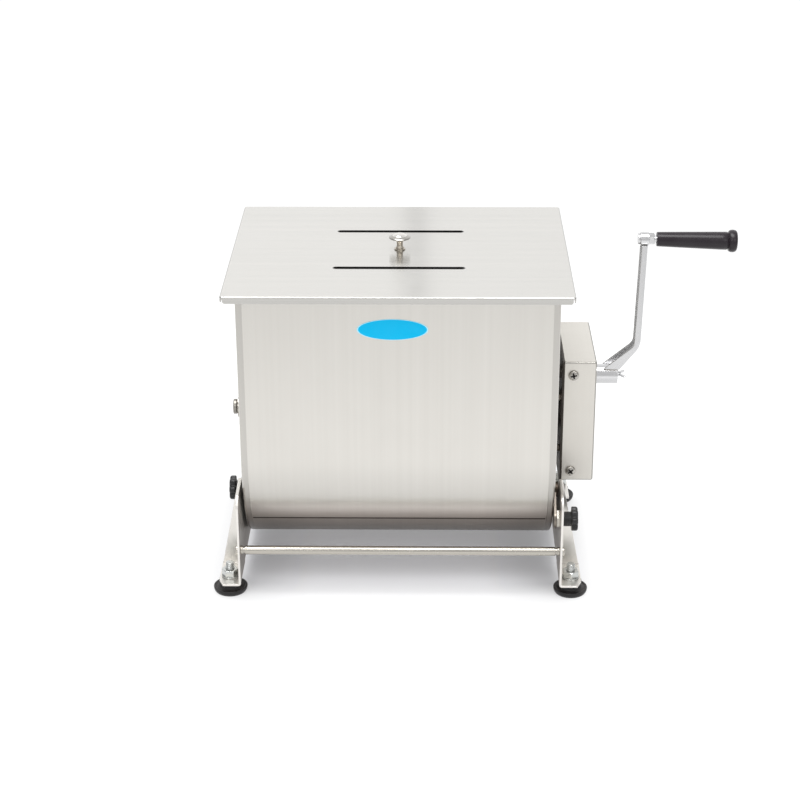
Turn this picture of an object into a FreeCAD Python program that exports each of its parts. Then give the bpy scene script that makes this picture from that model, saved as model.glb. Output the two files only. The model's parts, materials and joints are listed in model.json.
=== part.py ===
import FreeCAD, Part
import math
import os

# Hand-cranked meat mixer, in millimetres.
# X runs from the left leg to the crank grip, Y from front to back, Z up.
# The tank's middle is at X = 0, Y = 0 while the pieces are made.
# Every piece is moved at the end, so that the floor point under the whole mixer's box is the origin.

# Mixing shaft and tank
tank_floor_gap = 26.5
tank_half_length = 182.0
tank_radius = 150.0
tank_sheet = 1.5
wall_rise = 202.3
end_band = 8.0
end_bend = 2.6
rim_side = 13.0
rim_front = 9.0
shaft_radius = 10.0
running_gap = 0.05
bush_wall = 4.0
left_housing_radius = 22.0
left_housing_length = 13.7
right_housing_radius = 23.0
seal_length = 6.0
seal_wall = 8.0
seal_lip = 3.0
seal_rim = 2.5
housing_round = 1.5
bush_end_gap = 0.3

# Label plate on the tank's front
label_length = 80.0
label_height = 25.0
label_thickness = 0.4
label_offset = -6.0
label_above_shaft = 161.0

# Lid
lid_sheet = 1.2
lid_clearance = 1.3
lid_skirt = 8.0
lid_notch = 3.0
lid_corner = 3.0
lid_bend = 1.1
slot_length = 150.0
slot_width = 6.0
slot_spread = 65.0
knob_base_radius = 6.4
knob_neck_radius = 3.6
knob_disc_radius = 12.8
knob_height = 18.0
knob_disc_height = 13.6
knob_disc_half = 1.9
knob_rim_round = 1.6
knob_base = 1.6
knob_base_slope = 1.8
knob_flare = 2.2
knob_flare_rise = 3.0
knob_screw_radius = 2.5
knob_screw_depth = 9.0
knob_screw_head_radius = 4.75
knob_screw_head = 3.0
knob_screw_round = 1.2

# Stand
stand_sheet = 2.5
left_gap = 4.0
right_gap = 7.0
front_overhang = 14.0
rear_setback = 24.0
stand_drop = 45.0
stand_corner = 16.0
foot_height = 17.0
tab_width = 24.0
tab_depth = 54.0
tab_bend = 3.2
plate_relief = 6.0
ear_radius = 9.5
ear_step = 6.5
rear_slope = 32.3
rear_edge = 11.3
rear_corner = 12.0
rear_web = 12.0
tab_chamfer = 5.0
tab_chamfer_depth = 13.0
gusset_tip = 1.5
web_overlap = 0.5
foot_offset = 12.0
foot_inset = 21.4
foot_base_radius = 16.7
foot_rim_radius = 20.0
foot_rim_height = 7.7
foot_rim_round = 1.5
foot_base_edge = 1.0
foot_boss_step = 0.6
foot_boss_radius = 13.0
foot_recess_radius = 11.0
foot_recess = 9.0
foot_bolt_radius = 5.0
foot_bolt_head_flats = 16.0
foot_bolt_head = 5.0
foot_bolt_above_tab = 18.5
foot_bolt_chamfer = 1.0
foot_nut_flats = 17.0
foot_nut = 8.0
foot_nut_turn = 17.0
foot_washer_radius = 10.0
foot_washer = 2.0
foot_bowl_steps = 6
hole_gap = 0.4

# Tie rods
rod_radius = 5.25
rod_neck_radius = 4.3
rod_neck_start = 3.0
rod_neck_length = 2.4
rod_inset = 12.0
front_rod_gap = 1.3
rear_rod_gap = 0.3
rod_screw_radius = 3.0
rod_screw_depth = 14.0
rod_screw_head_radius = 5.3
rod_screw_head = 3.0
rod_screw_round = 1.0
screw_tip_gap = 1.0
thread_gap = 0.05

# Tilting pivots and lock
pivot_inset = 74.0
pivot_drop = 21.5
pivot_radius = 5.0
pivot_flange_radius = 12.0
pivot_flange = 2.0
pivot_spacer_radius = 11.0
spacer_play = 0.2
washer_radius = 9.5
washer = 1.2
lock_inset = 29.0
lock_drop = 38.4
lock_radius = 4.0
lock_block_flats = 19.0
catch_sheet = 3.0
catch_half = 11.0
catch_reach = 30.0
catch_play = 0.3
right_spacer_radius = 9.2
pivot_nut_flats = 15.0
pivot_nut = 3.6
tilt_angle = 75.0
star_radius = 14.6
star_valley = 1.9
star_lobes = 6
star_thickness = 7.4
star_hub_radius = 8.6
left_hub_length = 4.8
lock_hub_length = 9.6
star_edge = 1.0
star_dome = 4.5
star_dome_depth = 1.8
star_wall = 2.0
stud_wall = 3.0
plate_play = 0.3

# Gearbox
plate_clearance = 0.5
back_plate = 2.5
box_depth = 131.4
box_top = 87.1
box_bottom = 67.0
back_plate_drop = 4.5
cover_width = 37.7
cover_sheet = 1.5
cover_bend = 2.6
back_plate_round = 3.0
shaft_hole_gap = 0.6
cover_screw_offset = 10.5
cover_screw_top = 16.8
cover_screw_bottom = 13.0
cover_screw_radius = 3.0
cover_screw_head_radius = 6.0
cover_screw_head = 3.4
cover_screw_length = 10.0
cover_screw_cross = 3.3
cover_screw_cross_width = 1.1
cover_screw_cross_depth = 1.7
cover_screw_turn = 38.0
lug_width = 18.0
lug_depth = 8.0
lug_height = 14.0
lug_play = 0.1
standoff_radius = 4.3
standoff_y = 45.0
standoff_z = 33.0
standoff_bolt_radius = 3.0
standoff_bolt_head_radius = 5.0
standoff_bolt_head = 3.5
standoff_bolt_gap = 0.3

# Gears
gear_module = 1.5
gear_teeth = 45
pinion_teeth = 15
gear_width = 12.0
pinion_width = 14.0
pressure_angle = 20.0
gear_backlash = 0.16
gear_start = 5.0
gear_first_tooth = 90.0
gear_recess = 3.0
gear_rim = 7.25
gear_hub_radius = 15.0
gear_seat_radius = 8.0
gear_spacer = 1.5
gear_spacer_radius = 12.0
shaft_tail = 1.5
gear_washer_radius = 14.0
gear_washer = 2.0
gear_nut_flats = 22.0
gear_nut = 8.0
pinion_shaft_radius = 6.0
pinion_bush_wall = 3.0
pinion_bush_flange = 2.0
pinion_bush_rim = 3.0
pinion_tail = 6.0

# Left end of the mixing shaft
end_washer_radius = 13.0
end_washer = 2.5
end_bolt_radius = 5.0
end_bolt_depth = 22.0
end_bolt_flats = 17.0
end_bolt_head = 6.4

# Paddles
paddle_pitch = 84.0
paddle_count = 4
paddle_first_angle = 45.0
paddle_step_angle = 90.0
paddle_arm_radius = 6.0
paddle_wall_gap = 7.5
blade_height = 44.0
blade_width = 76.0
blade_sheet = 4.0
blade_twist = 30.0
blade_corner = 12.0
blade_trim = 4.0

# Crank
hub_radius = 11.9
hub_length = 27.5
hub_gap = 1.0
hub_edge = 0.8
arm_sheet = 1.8
arm_width = 19.0
arm_depth = 8.6
arm_foot_depth = 13.0
arm_foot_reach = 33.0
arm_foot_rise = 4.0
arm_elbow_reach = 56.0
arm_elbow_rise = 38.5
arm_lean = 3.0
arm_bend = 9.0
crank_radius = 172.0
eye_radius = 8.0
eye_gap = 0.1
eye_edge = 0.8
eye_seat = 6.0
pin_radius = 4.0
pin_head_radius = 6.5
pin_head = 2.5
pin_nut_flats = 13.0
pin_nut = 6.0
pin_neck = 2.8
pin_end_head = 2.0
pin_end_head_radius = 6.0
grip_length = 94.0
grip_small_radius = 8.5
grip_large_radius = 10.7
grip_bead_radius = 13.3
grip_bead_length = 10.5
grip_groove = 1.0
grip_edge = 0.8
grip_end_recess = 5.0
grip_recess_gap = 1.5
grip_groove_start = 1.2
grip_groove_floor = 0.4
grip_bead_start = 0.3
grip_bead_round = 4.5
wing_reach = 10.3
wing_thickness = 2.0
wing_length = 8.0
wing_hub_radius = 3.4
wing_screw_radius = 3.0
wing_screw_depth = 14.0
wing_seat = 1.2
wing_gap = 0.2
wing_boss = 4.0
wing_boss_taper = 0.9
wing_root = 0.6
wing_root_height = 2.8
wing_root_inset = 2.0
wing_tip = 2.5
wing_slant = 1.5

# How far a cut runs past the faces that it opens
cut_past = 1.0

# Places worked out from the sizes above
shaft_height = tank_radius + tank_floor_gap
rim_height = shaft_height + wall_rise
stand_front = tank_radius + front_overhang
stand_rear = tank_radius - rear_setback
stand_top = shaft_height - stand_drop
pivot_y = pivot_inset - stand_front
pivot_height = stand_top - pivot_drop
lock_y = lock_inset - stand_front
lock_height = stand_top - lock_drop
lid_top = rim_height + lid_sheet
lid_half_length = tank_half_length + rim_side + lid_clearance + lid_sheet
lid_half_depth = tank_radius + rim_front + lid_clearance + lid_sheet
left_inner = -tank_half_length - left_gap
left_outer = left_inner - stand_sheet
right_inner = tank_half_length + right_gap
right_outer = right_inner + stand_sheet
tab_top = foot_height + stand_sheet
foot_x = (left_outer - foot_offset, right_outer + foot_offset)
foot_y = (foot_inset - stand_front, stand_rear - foot_inset)
# The tank rests on the rear rod, and stops just above the front rod when it is tilted all the way.
front_rod_y = rod_inset - stand_front
rear_rod_y = stand_rear - rod_inset
rear_rod_reach = tank_radius + rear_rod_gap + rod_radius
rear_rod_height = shaft_height - math.sqrt(rear_rod_reach ** 2 - rear_rod_y ** 2)
tilt = math.radians(tilt_angle)
shaft_rise = shaft_height - pivot_height
tilted_y = pivot_y - pivot_y * math.cos(tilt) - shaft_rise * math.sin(tilt)
tilted_height = pivot_height - pivot_y * math.sin(tilt) + shaft_rise * math.cos(tilt)
front_rod_reach = tank_radius + front_rod_gap + rod_radius
front_rod_height = tilted_height - math.sqrt(front_rod_reach ** 2 - (tilted_y - front_rod_y) ** 2)
rods = ((front_rod_y, front_rod_height), (rear_rod_y, rear_rod_height))
rear_top = rear_rod_height + rear_edge
plate_start = right_outer + plate_clearance
cover_start = plate_start + back_plate
cover_end = cover_start + cover_width
box_half = box_depth / 2
cover_screws = (shaft_height + box_top - cover_screw_top, shaft_height - box_bottom + cover_screw_bottom)
gear_x = cover_start + gear_start
pinion_x = gear_x - (pinion_width - gear_width) / 2
gear_distance = gear_module * (gear_teeth + pinion_teeth) / 2
crank_height = shaft_height + gear_distance
hub_start = cover_end + pinion_bush_flange + hub_gap
hub_end = hub_start + hub_length
eye_height = crank_height + crank_radius
arm_elbow = cover_end + arm_elbow_reach
arm_top = arm_elbow + arm_lean
eye_start = arm_top - arm_depth
eye_end = arm_top + arm_sheet
pin_nut_end = eye_end + pin_nut
grip_start = pin_nut_end + pin_neck
grip_end = grip_start + grip_length
paddle_reach = tank_radius - tank_sheet - paddle_wall_gap
shaft_left_end = -tank_half_length - left_housing_length
housing_bore = shaft_radius + running_gap + bush_wall
catch_face = tank_half_length + catch_sheet
grip_droop = math.degrees(math.atan(arm_lean / (crank_radius - eye_seat - arm_elbow_rise)))
foot_left_edge = foot_x[0] - foot_rim_radius
origin_x = (foot_left_edge + grip_end) / 2
origin_y = (lid_half_depth - stand_front) / 2


def vec(x, y, z):
    return FreeCAD.Vector(x, y, z)


def box(x0, x1, y0, y1, z0, z1):
    return Part.makeBox(x1 - x0, y1 - y0, z1 - z0, vec(x0, y0, z0))


def rod_x(x0, x1, radius, y, z):
    return Part.makeCylinder(radius, x1 - x0, vec(x0, y, z), vec(1, 0, 0))


def rod_y(y0, y1, radius, x, z):
    return Part.makeCylinder(radius, y1 - y0, vec(x, y0, z), vec(0, 1, 0))


def rod_z(z0, z1, radius, x, y):
    return Part.makeCylinder(radius, z1 - z0, vec(x, y, z0), vec(0, 0, 1))


def ring_x(x0, x1, outer, inner, y, z):
    return rod_x(x0, x1, outer, y, z).cut(rod_x(x0, x1, inner, y, z))


def polygon(points):
    return Part.Face(Part.makePolygon(points + points[:1]))


def hexagon_x(x0, x1, flats, y, z):
    # A corner points up.
    reach = flats / math.sqrt(3)
    turns = [math.radians(90 + 60 * k) for k in range(6)]
    points = [vec(x0, y + reach * math.cos(t), z + reach * math.sin(t)) for t in turns]
    return polygon(points).extrude(vec(x1 - x0, 0, 0))


def hexagon_z(z0, z1, flats, x, y, start):
    reach = flats / math.sqrt(3)
    turns = [math.radians(start + 60 * k) for k in range(6)]
    points = [vec(x + reach * math.cos(t), y + reach * math.sin(t), z0) for t in turns]
    return polygon(points).extrude(vec(0, 0, z1 - z0))


def chamfered_nut(blank, axis_start, axis_end, flats):
    # The corners of a nut or bolt head are turned down to a cone at its outer face.
    corner = flats / math.sqrt(3)
    direction = axis_end.sub(axis_start).normalize()
    length = axis_end.sub(axis_start).Length
    depth = (corner - flats / 2) * math.tan(math.radians(30)) + 0.2
    core = Part.makeCylinder(corner, length - depth, axis_start, direction)
    top = axis_start.add(FreeCAD.Vector(direction).multiply(length - depth))
    cone = Part.makeCone(corner, flats / 2 * 0.97, depth, top, direction)
    return blank.common(core.fuse(cone))


def fillet_where(shape, radius, keep):
    chosen = [edge for edge in shape.Edges if keep(edge)]
    return shape.makeFillet(radius, chosen)


def edge_box(edge):
    return edge.BoundBox


def lies_at(low, high, value):
    return abs(low - value) < 1e-3 and abs(high - value) < 1e-3


def revolve_x(points, y, z):
    # The points are (x, radius) pairs.
    face = polygon([vec(px, y, z + pr) for px, pr in points])
    return face.revolve(vec(0, y, z), vec(1, 0, 0), 360)


def dome_half_rise(radius, rise):
    # Height of a ball-shaped dome above its edge, at half its radius.
    ball = (radius ** 2 + rise ** 2) / (2 * rise)
    return rise - ball + math.sqrt(ball ** 2 - (radius / 2) ** 2)


def save(name, shapes):
    pieces = []
    for shape in shapes:
        for solid in shape.Solids:
            moved = solid.copy()
            moved.translate(vec(-origin_x, -origin_y, 0))
            pieces.append(moved)
    whole = pieces[0] if len(pieces) == 1 else Part.makeCompound(pieces)
    valid = all(piece.isValid() for piece in pieces)
    print(name, len(pieces), "solids", round(whole.Volume / 1000, 2), "cm3", "ok" if valid else "BAD")
    whole.exportStep("parts/" + name + ".step")


def tank_prism(x0, x1, half):
    # The tank's outline: straight walls on a half-round trough.
    top = rim_height
    start = vec(x0, -half, shaft_height)
    end = vec(x0, half, shaft_height)
    trough = Part.Arc(start, vec(x0, 0, shaft_height - half), end).toShape()
    back = Part.makeLine(end, vec(x0, half, top))
    mouth = Part.makeLine(vec(x0, half, top), vec(x0, -half, top))
    front = Part.makeLine(vec(x0, -half, top), start)
    return Part.Face(Part.Wire([trough, back, mouth, front])).extrude(vec(x1 - x0, 0, 0))


def tank_shell():
    reach = tank_half_length - end_band
    inner = tank_radius - tank_sheet
    shell = tank_prism(-reach, reach, tank_radius).cut(tank_prism(-reach, reach, inner))
    for side in (-1, 1):
        near = side * inner
        far = side * (tank_radius + rim_front)
        rim = box(-reach, reach, min(near, far), max(near, far), rim_height - tank_sheet, rim_height)
        shell = shell.fuse(rim)
    return shell.removeSplitter()


def tank_end(side, holes):
    # An end wall with its edge turned in as a band, and its rim turned out under the lid.
    wall = side * tank_half_length
    edge = wall - side * end_band
    inside = wall - side * tank_sheet
    low, high = min(wall, edge), max(wall, edge)
    blank = tank_prism(low, high, tank_radius)
    rounded = fillet_where(blank, end_bend, lambda e: on_end_outline(e, wall))
    hollow = tank_prism(min(inside, edge), max(inside, edge), tank_radius - tank_sheet)
    end = rounded.cut(hollow)
    rim_end = wall + side * rim_side
    reach = tank_radius + rim_front
    rim = box(min(rim_end, edge), max(rim_end, edge), -reach, reach, rim_height - tank_sheet, rim_height)
    mouth = tank_radius - tank_sheet
    opening = box(min(inside, edge), max(inside, edge), -mouth, mouth, rim_height - tank_sheet, rim_height)
    end = end.fuse(rim.cut(opening)).removeSplitter()
    for radius, y, z in holes:
        end = end.cut(rod_x(min(wall, inside) - 1, max(wall, inside) + 1, radius, y, z))
    return end


def on_end_outline(edge, wall):
    bounds = edge_box(edge)
    level = lies_at(bounds.ZMin, bounds.ZMax, rim_height)
    return lies_at(bounds.XMin, bounds.XMax, wall) and not level


def label():
    flat = Part.Ellipse(vec(0, 0, 0), label_length / 2, label_height / 2).toShape()
    plate = Part.Face(Part.Wire([flat])).extrude(vec(0, 0, label_thickness))
    plate.rotate(vec(0, 0, 0), vec(1, 0, 0), 90)
    plate.translate(vec(label_offset, -tank_radius, shaft_height + label_above_shaft))
    return plate


def lid():
    half_x = lid_half_length
    half_y = lid_half_depth
    bottom = lid_top - lid_skirt
    sheet = box(-half_x, half_x, -half_y, half_y, rim_height, lid_top)
    sheet = fillet_where(sheet, lid_corner, upright_edge)
    for side in (-1, 1):
        outer_x = side * half_x
        inner_x = side * (half_x - lid_sheet)
        run_y = half_y - lid_notch
        skirt = box(min(outer_x, inner_x), max(outer_x, inner_x), -run_y, run_y, bottom, lid_top)
        sheet = sheet.fuse(fillet_where(skirt, lid_corner, lambda e: low_corner(e, 0, bottom)))
        outer_y = side * half_y
        inner_y = side * (half_y - lid_sheet)
        run_x = half_x - lid_notch
        skirt = box(-run_x, run_x, min(outer_y, inner_y), max(outer_y, inner_y), bottom, lid_top)
        sheet = sheet.fuse(fillet_where(skirt, lid_corner, lambda e: low_corner(e, 1, bottom)))
    sheet = sheet.removeSplitter()
    sheet = fillet_where(sheet, lid_bend, top_bend_edge)
    for side in (-1, 1):
        sheet = sheet.cut(lid_slot(side * slot_spread))
    return sheet.cut(rod_z(rim_height - 1, lid_top + 1, knob_screw_radius + hole_gap, 0, 0))


def upright_edge(edge):
    bounds = edge_box(edge)
    return bounds.ZLength > 0.5 and bounds.XLength < 0.01 and bounds.YLength < 0.01


def low_corner(edge, across, bottom):
    bounds = edge_box(edge)
    thin = (bounds.XLength, bounds.YLength)[across]
    other = (bounds.YLength, bounds.XLength)[across]
    return lies_at(bounds.ZMin, bounds.ZMax, bottom) and thin > 0.5 and other < 0.01


def top_bend_edge(edge):
    bounds = edge_box(edge)
    long_edge = max(bounds.XLength, bounds.YLength) > lid_half_depth
    outer = abs(abs(bounds.XMax) - lid_half_length) < 0.01 and bounds.XLength < 0.01
    outer = outer or (abs(abs(bounds.YMax) - lid_half_depth) < 0.01 and bounds.YLength < 0.01)
    return lies_at(bounds.ZMin, bounds.ZMax, lid_top) and long_edge and outer


def lid_slot(y):
    reach = slot_length / 2 - slot_width / 2
    low = rim_height - 1
    high = lid_top + 1
    slot = box(-reach, reach, y - slot_width / 2, y + slot_width / 2, low, high)
    for side in (-1, 1):
        slot = slot.fuse(rod_z(low, high, slot_width / 2, side * reach, y))
    return slot.removeSplitter()


def lid_knob():
    base = vec(0, 0, lid_top)
    neck = knob_neck_radius
    disc = knob_disc_radius
    flange_top = knob_base
    neck_bottom = knob_base + knob_base_slope
    under = knob_disc_height - knob_disc_half
    dome = disc - knob_rim_round
    dome_start = lid_top + knob_disc_height + knob_disc_half
    edges = [
        Part.makeLine(base, vec(knob_base_radius, 0, lid_top)),
        Part.makeLine(vec(knob_base_radius, 0, lid_top), vec(knob_base_radius, 0, lid_top + flange_top)),
        Part.makeLine(vec(knob_base_radius, 0, lid_top + flange_top), vec(neck, 0, lid_top + neck_bottom)),
        Part.makeLine(vec(neck, 0, lid_top + neck_bottom), vec(neck, 0, lid_top + under - knob_flare_rise)),
        Part.Arc(
            vec(neck, 0, lid_top + under - knob_flare_rise),
            vec(neck + knob_flare, 0, lid_top + under - knob_flare_rise * 0.27),
            vec(dome, 0, lid_top + under),
        ).toShape(),
        Part.Arc(
            vec(dome, 0, lid_top + under),
            vec(disc, 0, lid_top + knob_disc_height),
            vec(dome, 0, dome_start),
        ).toShape(),
        Part.Arc(
            vec(dome, 0, dome_start),
            vec(dome / 2, 0, dome_start + dome_half_rise(dome, lid_top + knob_height - dome_start)),
            vec(0, 0, lid_top + knob_height),
        ).toShape(),
        Part.makeLine(vec(0, 0, lid_top + knob_height), base),
    ]
    knob = Part.Face(Part.Wire(edges)).revolve(vec(0, 0, 0), vec(0, 0, 1), 360)
    return knob.cut(rod_z(lid_top, lid_top + knob_screw_depth, knob_screw_radius + thread_gap, 0, 0))


def lid_knob_screw():
    shank = rod_z(rim_height, lid_top + knob_screw_depth - hole_gap, knob_screw_radius, 0, 0)
    head = rod_z(rim_height - knob_screw_head, rim_height, knob_screw_head_radius, 0, 0)
    low = rim_height - knob_screw_head
    head = fillet_where(head, knob_screw_round, lambda e: lies_at(e.BoundBox.ZMin, e.BoundBox.ZMax, low))
    return shank.fuse(head)


def stand_tab(inner, side, edge_y, web_top):
    # One foot tab with its web; side points outwards in X, edge_y is the plate's front or rear edge.
    end = 1 if edge_y > 0 else -1
    outer = inner + side * stand_sheet
    tip = outer + side * tab_width
    y_web = edge_y - end * tab_depth
    points = [
        vec(inner, edge_y, foot_height),
        vec(tip - side * tab_chamfer, edge_y, foot_height),
        vec(tip, edge_y - end * tab_chamfer_depth, foot_height),
        vec(tip, y_web - end * stand_sheet, foot_height),
        vec(inner, y_web - end * stand_sheet, foot_height),
    ]
    tab = polygon(points).extrude(vec(0, 0, stand_sheet))
    root = outer - side * web_overlap
    web = polygon([
        vec(root, y_web, foot_height),
        vec(tip, y_web, foot_height),
        vec(outer + side * gusset_tip, y_web, web_top),
        vec(root, y_web, web_top),
    ]).extrude(vec(0, -end * stand_sheet, 0))
    return tab.fuse(web)


def plate_outline(x):
    # High in front for the lock and the pivot's ear, then sloping down to the rear rod.
    web_end = tab_depth + stand_sheet - stand_front
    slope = math.radians(rear_slope)
    ear_top = pivot_height + ear_radius
    slope_y = pivot_y + ear_radius * math.sin(slope)
    slope_z = pivot_height + ear_radius * math.cos(slope)
    slope_end = slope_y + (slope_z - rear_top) / math.tan(slope)
    return [
        vec(x, -stand_front, foot_height), vec(x, -stand_front, stand_top),
        vec(x, web_end, stand_top), vec(x, web_end + ear_step, ear_top),
        vec(x, pivot_y, ear_top), vec(x, slope_y, slope_z), vec(x, slope_end, rear_top),
        vec(x, stand_rear, rear_top), vec(x, stand_rear, foot_height),
    ]


def side_plate(inner, side, holes):
    outer = inner + side * stand_sheet
    low, high = min(inner, outer), max(inner, outer)
    plate = polygon(plate_outline(low)).extrude(vec(high - low, 0, 0))
    plate = fillet_where(plate, stand_corner, lambda e: corner_edge(e, -stand_front, stand_top))
    plate = fillet_where(plate, rear_corner, lambda e: corner_edge(e, stand_rear, rear_top))
    plate = plate.fuse(rod_x(low, high, ear_radius, pivot_y, pivot_height))
    front_middle = tab_depth + stand_sheet - stand_front
    rear_middle = stand_rear - tab_depth - stand_sheet
    plate = plate.cut(box(low - 1, high + 1, front_middle, rear_middle, foot_height - 1, foot_height + plate_relief))
    plate = plate.fuse(stand_tab(inner, side, -stand_front, stand_top))
    plate = plate.fuse(stand_tab(inner, side, stand_rear, tab_top + rear_web))
    plate = plate.removeSplitter()
    plate = fillet_where(plate, tab_bend, lambda e: tab_bend_edge(e, inner))
    for radius, y, z in holes:
        plate = plate.cut(rod_x(low - 1, high + 1, radius, y, z))
    x = foot_x[0] if side < 0 else foot_x[1]
    for y in foot_y:
        plate = plate.cut(rod_z(foot_height - 1, tab_top + 1, foot_bolt_radius + hole_gap, x, y))
    return plate


def corner_edge(edge, y, z):
    bounds = edge_box(edge)
    return lies_at(bounds.YMin, bounds.YMax, y) and lies_at(bounds.ZMin, bounds.ZMax, z)


def tab_bend_edge(edge, inner):
    bounds = edge_box(edge)
    along = bounds.YLength > tab_depth - 1 and bounds.YLength < tab_depth + stand_sheet + 1
    return along and lies_at(bounds.XMin, bounds.XMax, inner) and lies_at(bounds.ZMin, bounds.ZMax, foot_height)


def tie_rod(y, z):
    rod = rod_x(left_inner, right_inner, rod_radius, y, z)
    for start, side in ((left_inner, 1), (right_inner, -1)):
        a = start + side * rod_neck_start
        b = a + side * rod_neck_length
        rod = rod.cut(ring_x(min(a, b), max(a, b), rod_radius + 1, rod_neck_radius, y, z))
        deep = start + side * rod_screw_depth
        rod = rod.cut(rod_x(min(start, deep), max(start, deep), rod_screw_radius + thread_gap, y, z))
    return rod


def tie_rod_screw(face, side, y, z):
    # Low round head outside the side plate, shank through the plate into the rod's end.
    inner_end = face - side * (stand_sheet + rod_screw_depth - screw_tip_gap)
    outer_end = face + side * rod_screw_head
    shank = rod_x(min(face, inner_end), max(face, inner_end), rod_screw_radius, y, z)
    head = rod_x(min(face, outer_end), max(face, outer_end), rod_screw_head_radius, y, z)
    head = fillet_where(head, rod_screw_round, lambda e: lies_at(e.BoundBox.XMin, e.BoundBox.XMax, outer_end))
    return shank.fuse(head)


def rubber_foot(x, y):
    # A bowl standing on its flat ring, with a recess below for the bolt's head.
    points = [(foot_recess_radius, 0)]
    low_rim = foot_rim_height - foot_rim_round
    for k in range(foot_bowl_steps + 1):
        turn = math.pi / 2 * k / foot_bowl_steps
        bulge = (foot_rim_radius - foot_base_radius) * math.sin(turn)
        points.append((foot_base_radius + bulge, foot_base_edge + (low_rim - foot_base_edge) * (1 - math.cos(turn))))
    points[1] = (foot_base_radius - foot_base_edge * 0.5, 0)
    soft = foot_rim_round * 0.3
    points += [
        (foot_rim_radius - soft, foot_rim_height - soft), (foot_rim_radius - foot_rim_round, foot_rim_height),
        (foot_boss_radius, foot_rim_height + foot_boss_step), (foot_boss_radius, foot_height),
        (foot_bolt_radius + thread_gap, foot_height), (foot_bolt_radius + thread_gap, foot_recess),
        (foot_recess_radius, foot_recess),
    ]
    face = polygon([vec(x + r, y, z) for r, z in points])
    return face.revolve(vec(x, y, 0), vec(0, 0, 1), 360)


def foot_bolt(x, y):
    head_bottom = foot_recess - foot_bolt_head
    head = hexagon_z(head_bottom, foot_recess, foot_bolt_head_flats, x, y, 0)
    top = tab_top + foot_bolt_above_tab
    shank = rod_z(foot_recess, top, foot_bolt_radius, x, y)
    shank = shank.makeChamfer(foot_bolt_chamfer, [e for e in shank.Edges if lies_at(e.BoundBox.ZMin, e.BoundBox.ZMax, top)])
    return head.fuse(shank)


def foot_washer_ring(x, y):
    washer_ring = rod_z(tab_top, tab_top + foot_washer, foot_washer_radius, x, y)
    return washer_ring.cut(rod_z(tab_top - 1, tab_top + foot_washer + 1, foot_bolt_radius + thread_gap, x, y))


def foot_nut_piece(x, y, turn):
    start = tab_top + foot_washer
    end = start + foot_nut
    blank = hexagon_z(start, end, foot_nut_flats, x, y, turn)
    nut = chamfered_nut(blank, vec(x, y, start), vec(x, y, end), foot_nut_flats)
    return nut.cut(rod_z(start - 1, end + 1, foot_bolt_radius + thread_gap, x, y))


def star_wheel(x0, side, hub_length, y, z, bore):
    # Hub against the plate, then a wheel with rounded lobes, both bored for the stud.
    hub_end_x = x0 + side * hub_length
    wheel_end = hub_end_x + side * star_thickness
    hub = rod_x(min(x0, hub_end_x), max(x0, hub_end_x), star_hub_radius, y, z)
    points = []
    count = star_lobes * 12
    for k in range(count):
        turn = 2 * math.pi * k / count
        wave = (1 - math.cos(star_lobes * turn)) / 2
        radius = star_radius - star_valley * wave ** 2
        points.append(vec(hub_end_x, y + radius * math.sin(turn), z + radius * math.cos(turn)))
    curve = Part.BSplineCurve()
    curve.interpolate(points, PeriodicFlag=True)
    wheel = Part.Face(Part.Wire([curve.toShape()])).extrude(vec(side * star_thickness, 0, 0))
    turned = revolve_x(star_turning(hub_end_x, wheel_end, side), y, z)
    knob = hub.fuse(wheel.common(turned)).removeSplitter()
    depth_end = hub_end_x + side * (star_thickness - star_wall)
    return knob.cut(rod_x(min(x0, depth_end), max(x0, depth_end), bore, y, z))


def star_turning(start, end, side):
    return [
        (start, 0), (start, star_radius - star_edge), (start + side * star_edge, star_radius),
        (end - side * star_dome_depth, star_radius),
        (end - side * star_dome_depth * 0.22, star_radius - star_dome * 0.5),
        (end, star_radius - star_dome),
        (end, 0),
    ]


def pivot_stud(side):
    # A stud with a flange welded inside the end wall; it carries the tank in the side plate.
    wall = side * tank_half_length
    inside = wall - side * tank_sheet
    flange_end = inside - side * pivot_flange
    face = left_outer if side < 0 else right_outer
    reach = left_hub_length + star_thickness - stud_wall if side < 0 else pivot_nut
    end = face + side * (plate_play + washer + reach)
    flange = rod_x(min(inside, flange_end), max(inside, flange_end), pivot_flange_radius, pivot_y, pivot_height)
    stud = rod_x(min(inside, end), max(inside, end), pivot_radius, pivot_y, pivot_height)
    return flange.fuse(stud)


def pivot_washer(side):
    face = left_outer if side < 0 else right_outer
    near = face + side * plate_play
    far = near + side * washer
    return ring_x(min(near, far), max(near, far), washer_radius, pivot_radius + running_gap, pivot_y, pivot_height)


def left_pivot_spacer():
    start = left_inner + spacer_play
    return ring_x(start, -tank_half_length, pivot_spacer_radius, pivot_radius + running_gap, pivot_y, pivot_height)


def right_pivot_spacer():
    end = right_inner - spacer_play
    return ring_x(tank_half_length, end, right_spacer_radius, pivot_radius + running_gap, pivot_y, pivot_height)


def right_pivot_nut():
    start = right_outer + plate_play + washer
    end = start + pivot_nut
    blank = hexagon_x(start, end, pivot_nut_flats, pivot_y, pivot_height)
    near = vec(start, pivot_y, pivot_height)
    nut = chamfered_nut(blank, near, vec(end, pivot_y, pivot_height), pivot_nut_flats)
    return nut.cut(rod_x(start - 1, end + 1, pivot_radius + thread_gap, pivot_y, pivot_height))


def lock_catch():
    # Lug welded on the tank's end wall, where the lock screw's tip presses.
    turn = math.degrees(math.atan2(shaft_height - lock_height, -lock_y))
    low = lock_height - catch_half
    strip = box(tank_half_length, catch_face, lock_y, lock_y + catch_reach, low, lock_height + catch_half)
    strip.rotate(vec(0, lock_y, lock_height), vec(1, 0, 0), turn)
    return strip.fuse(rod_x(tank_half_length, catch_face, catch_half, lock_y, lock_height)).removeSplitter()


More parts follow.
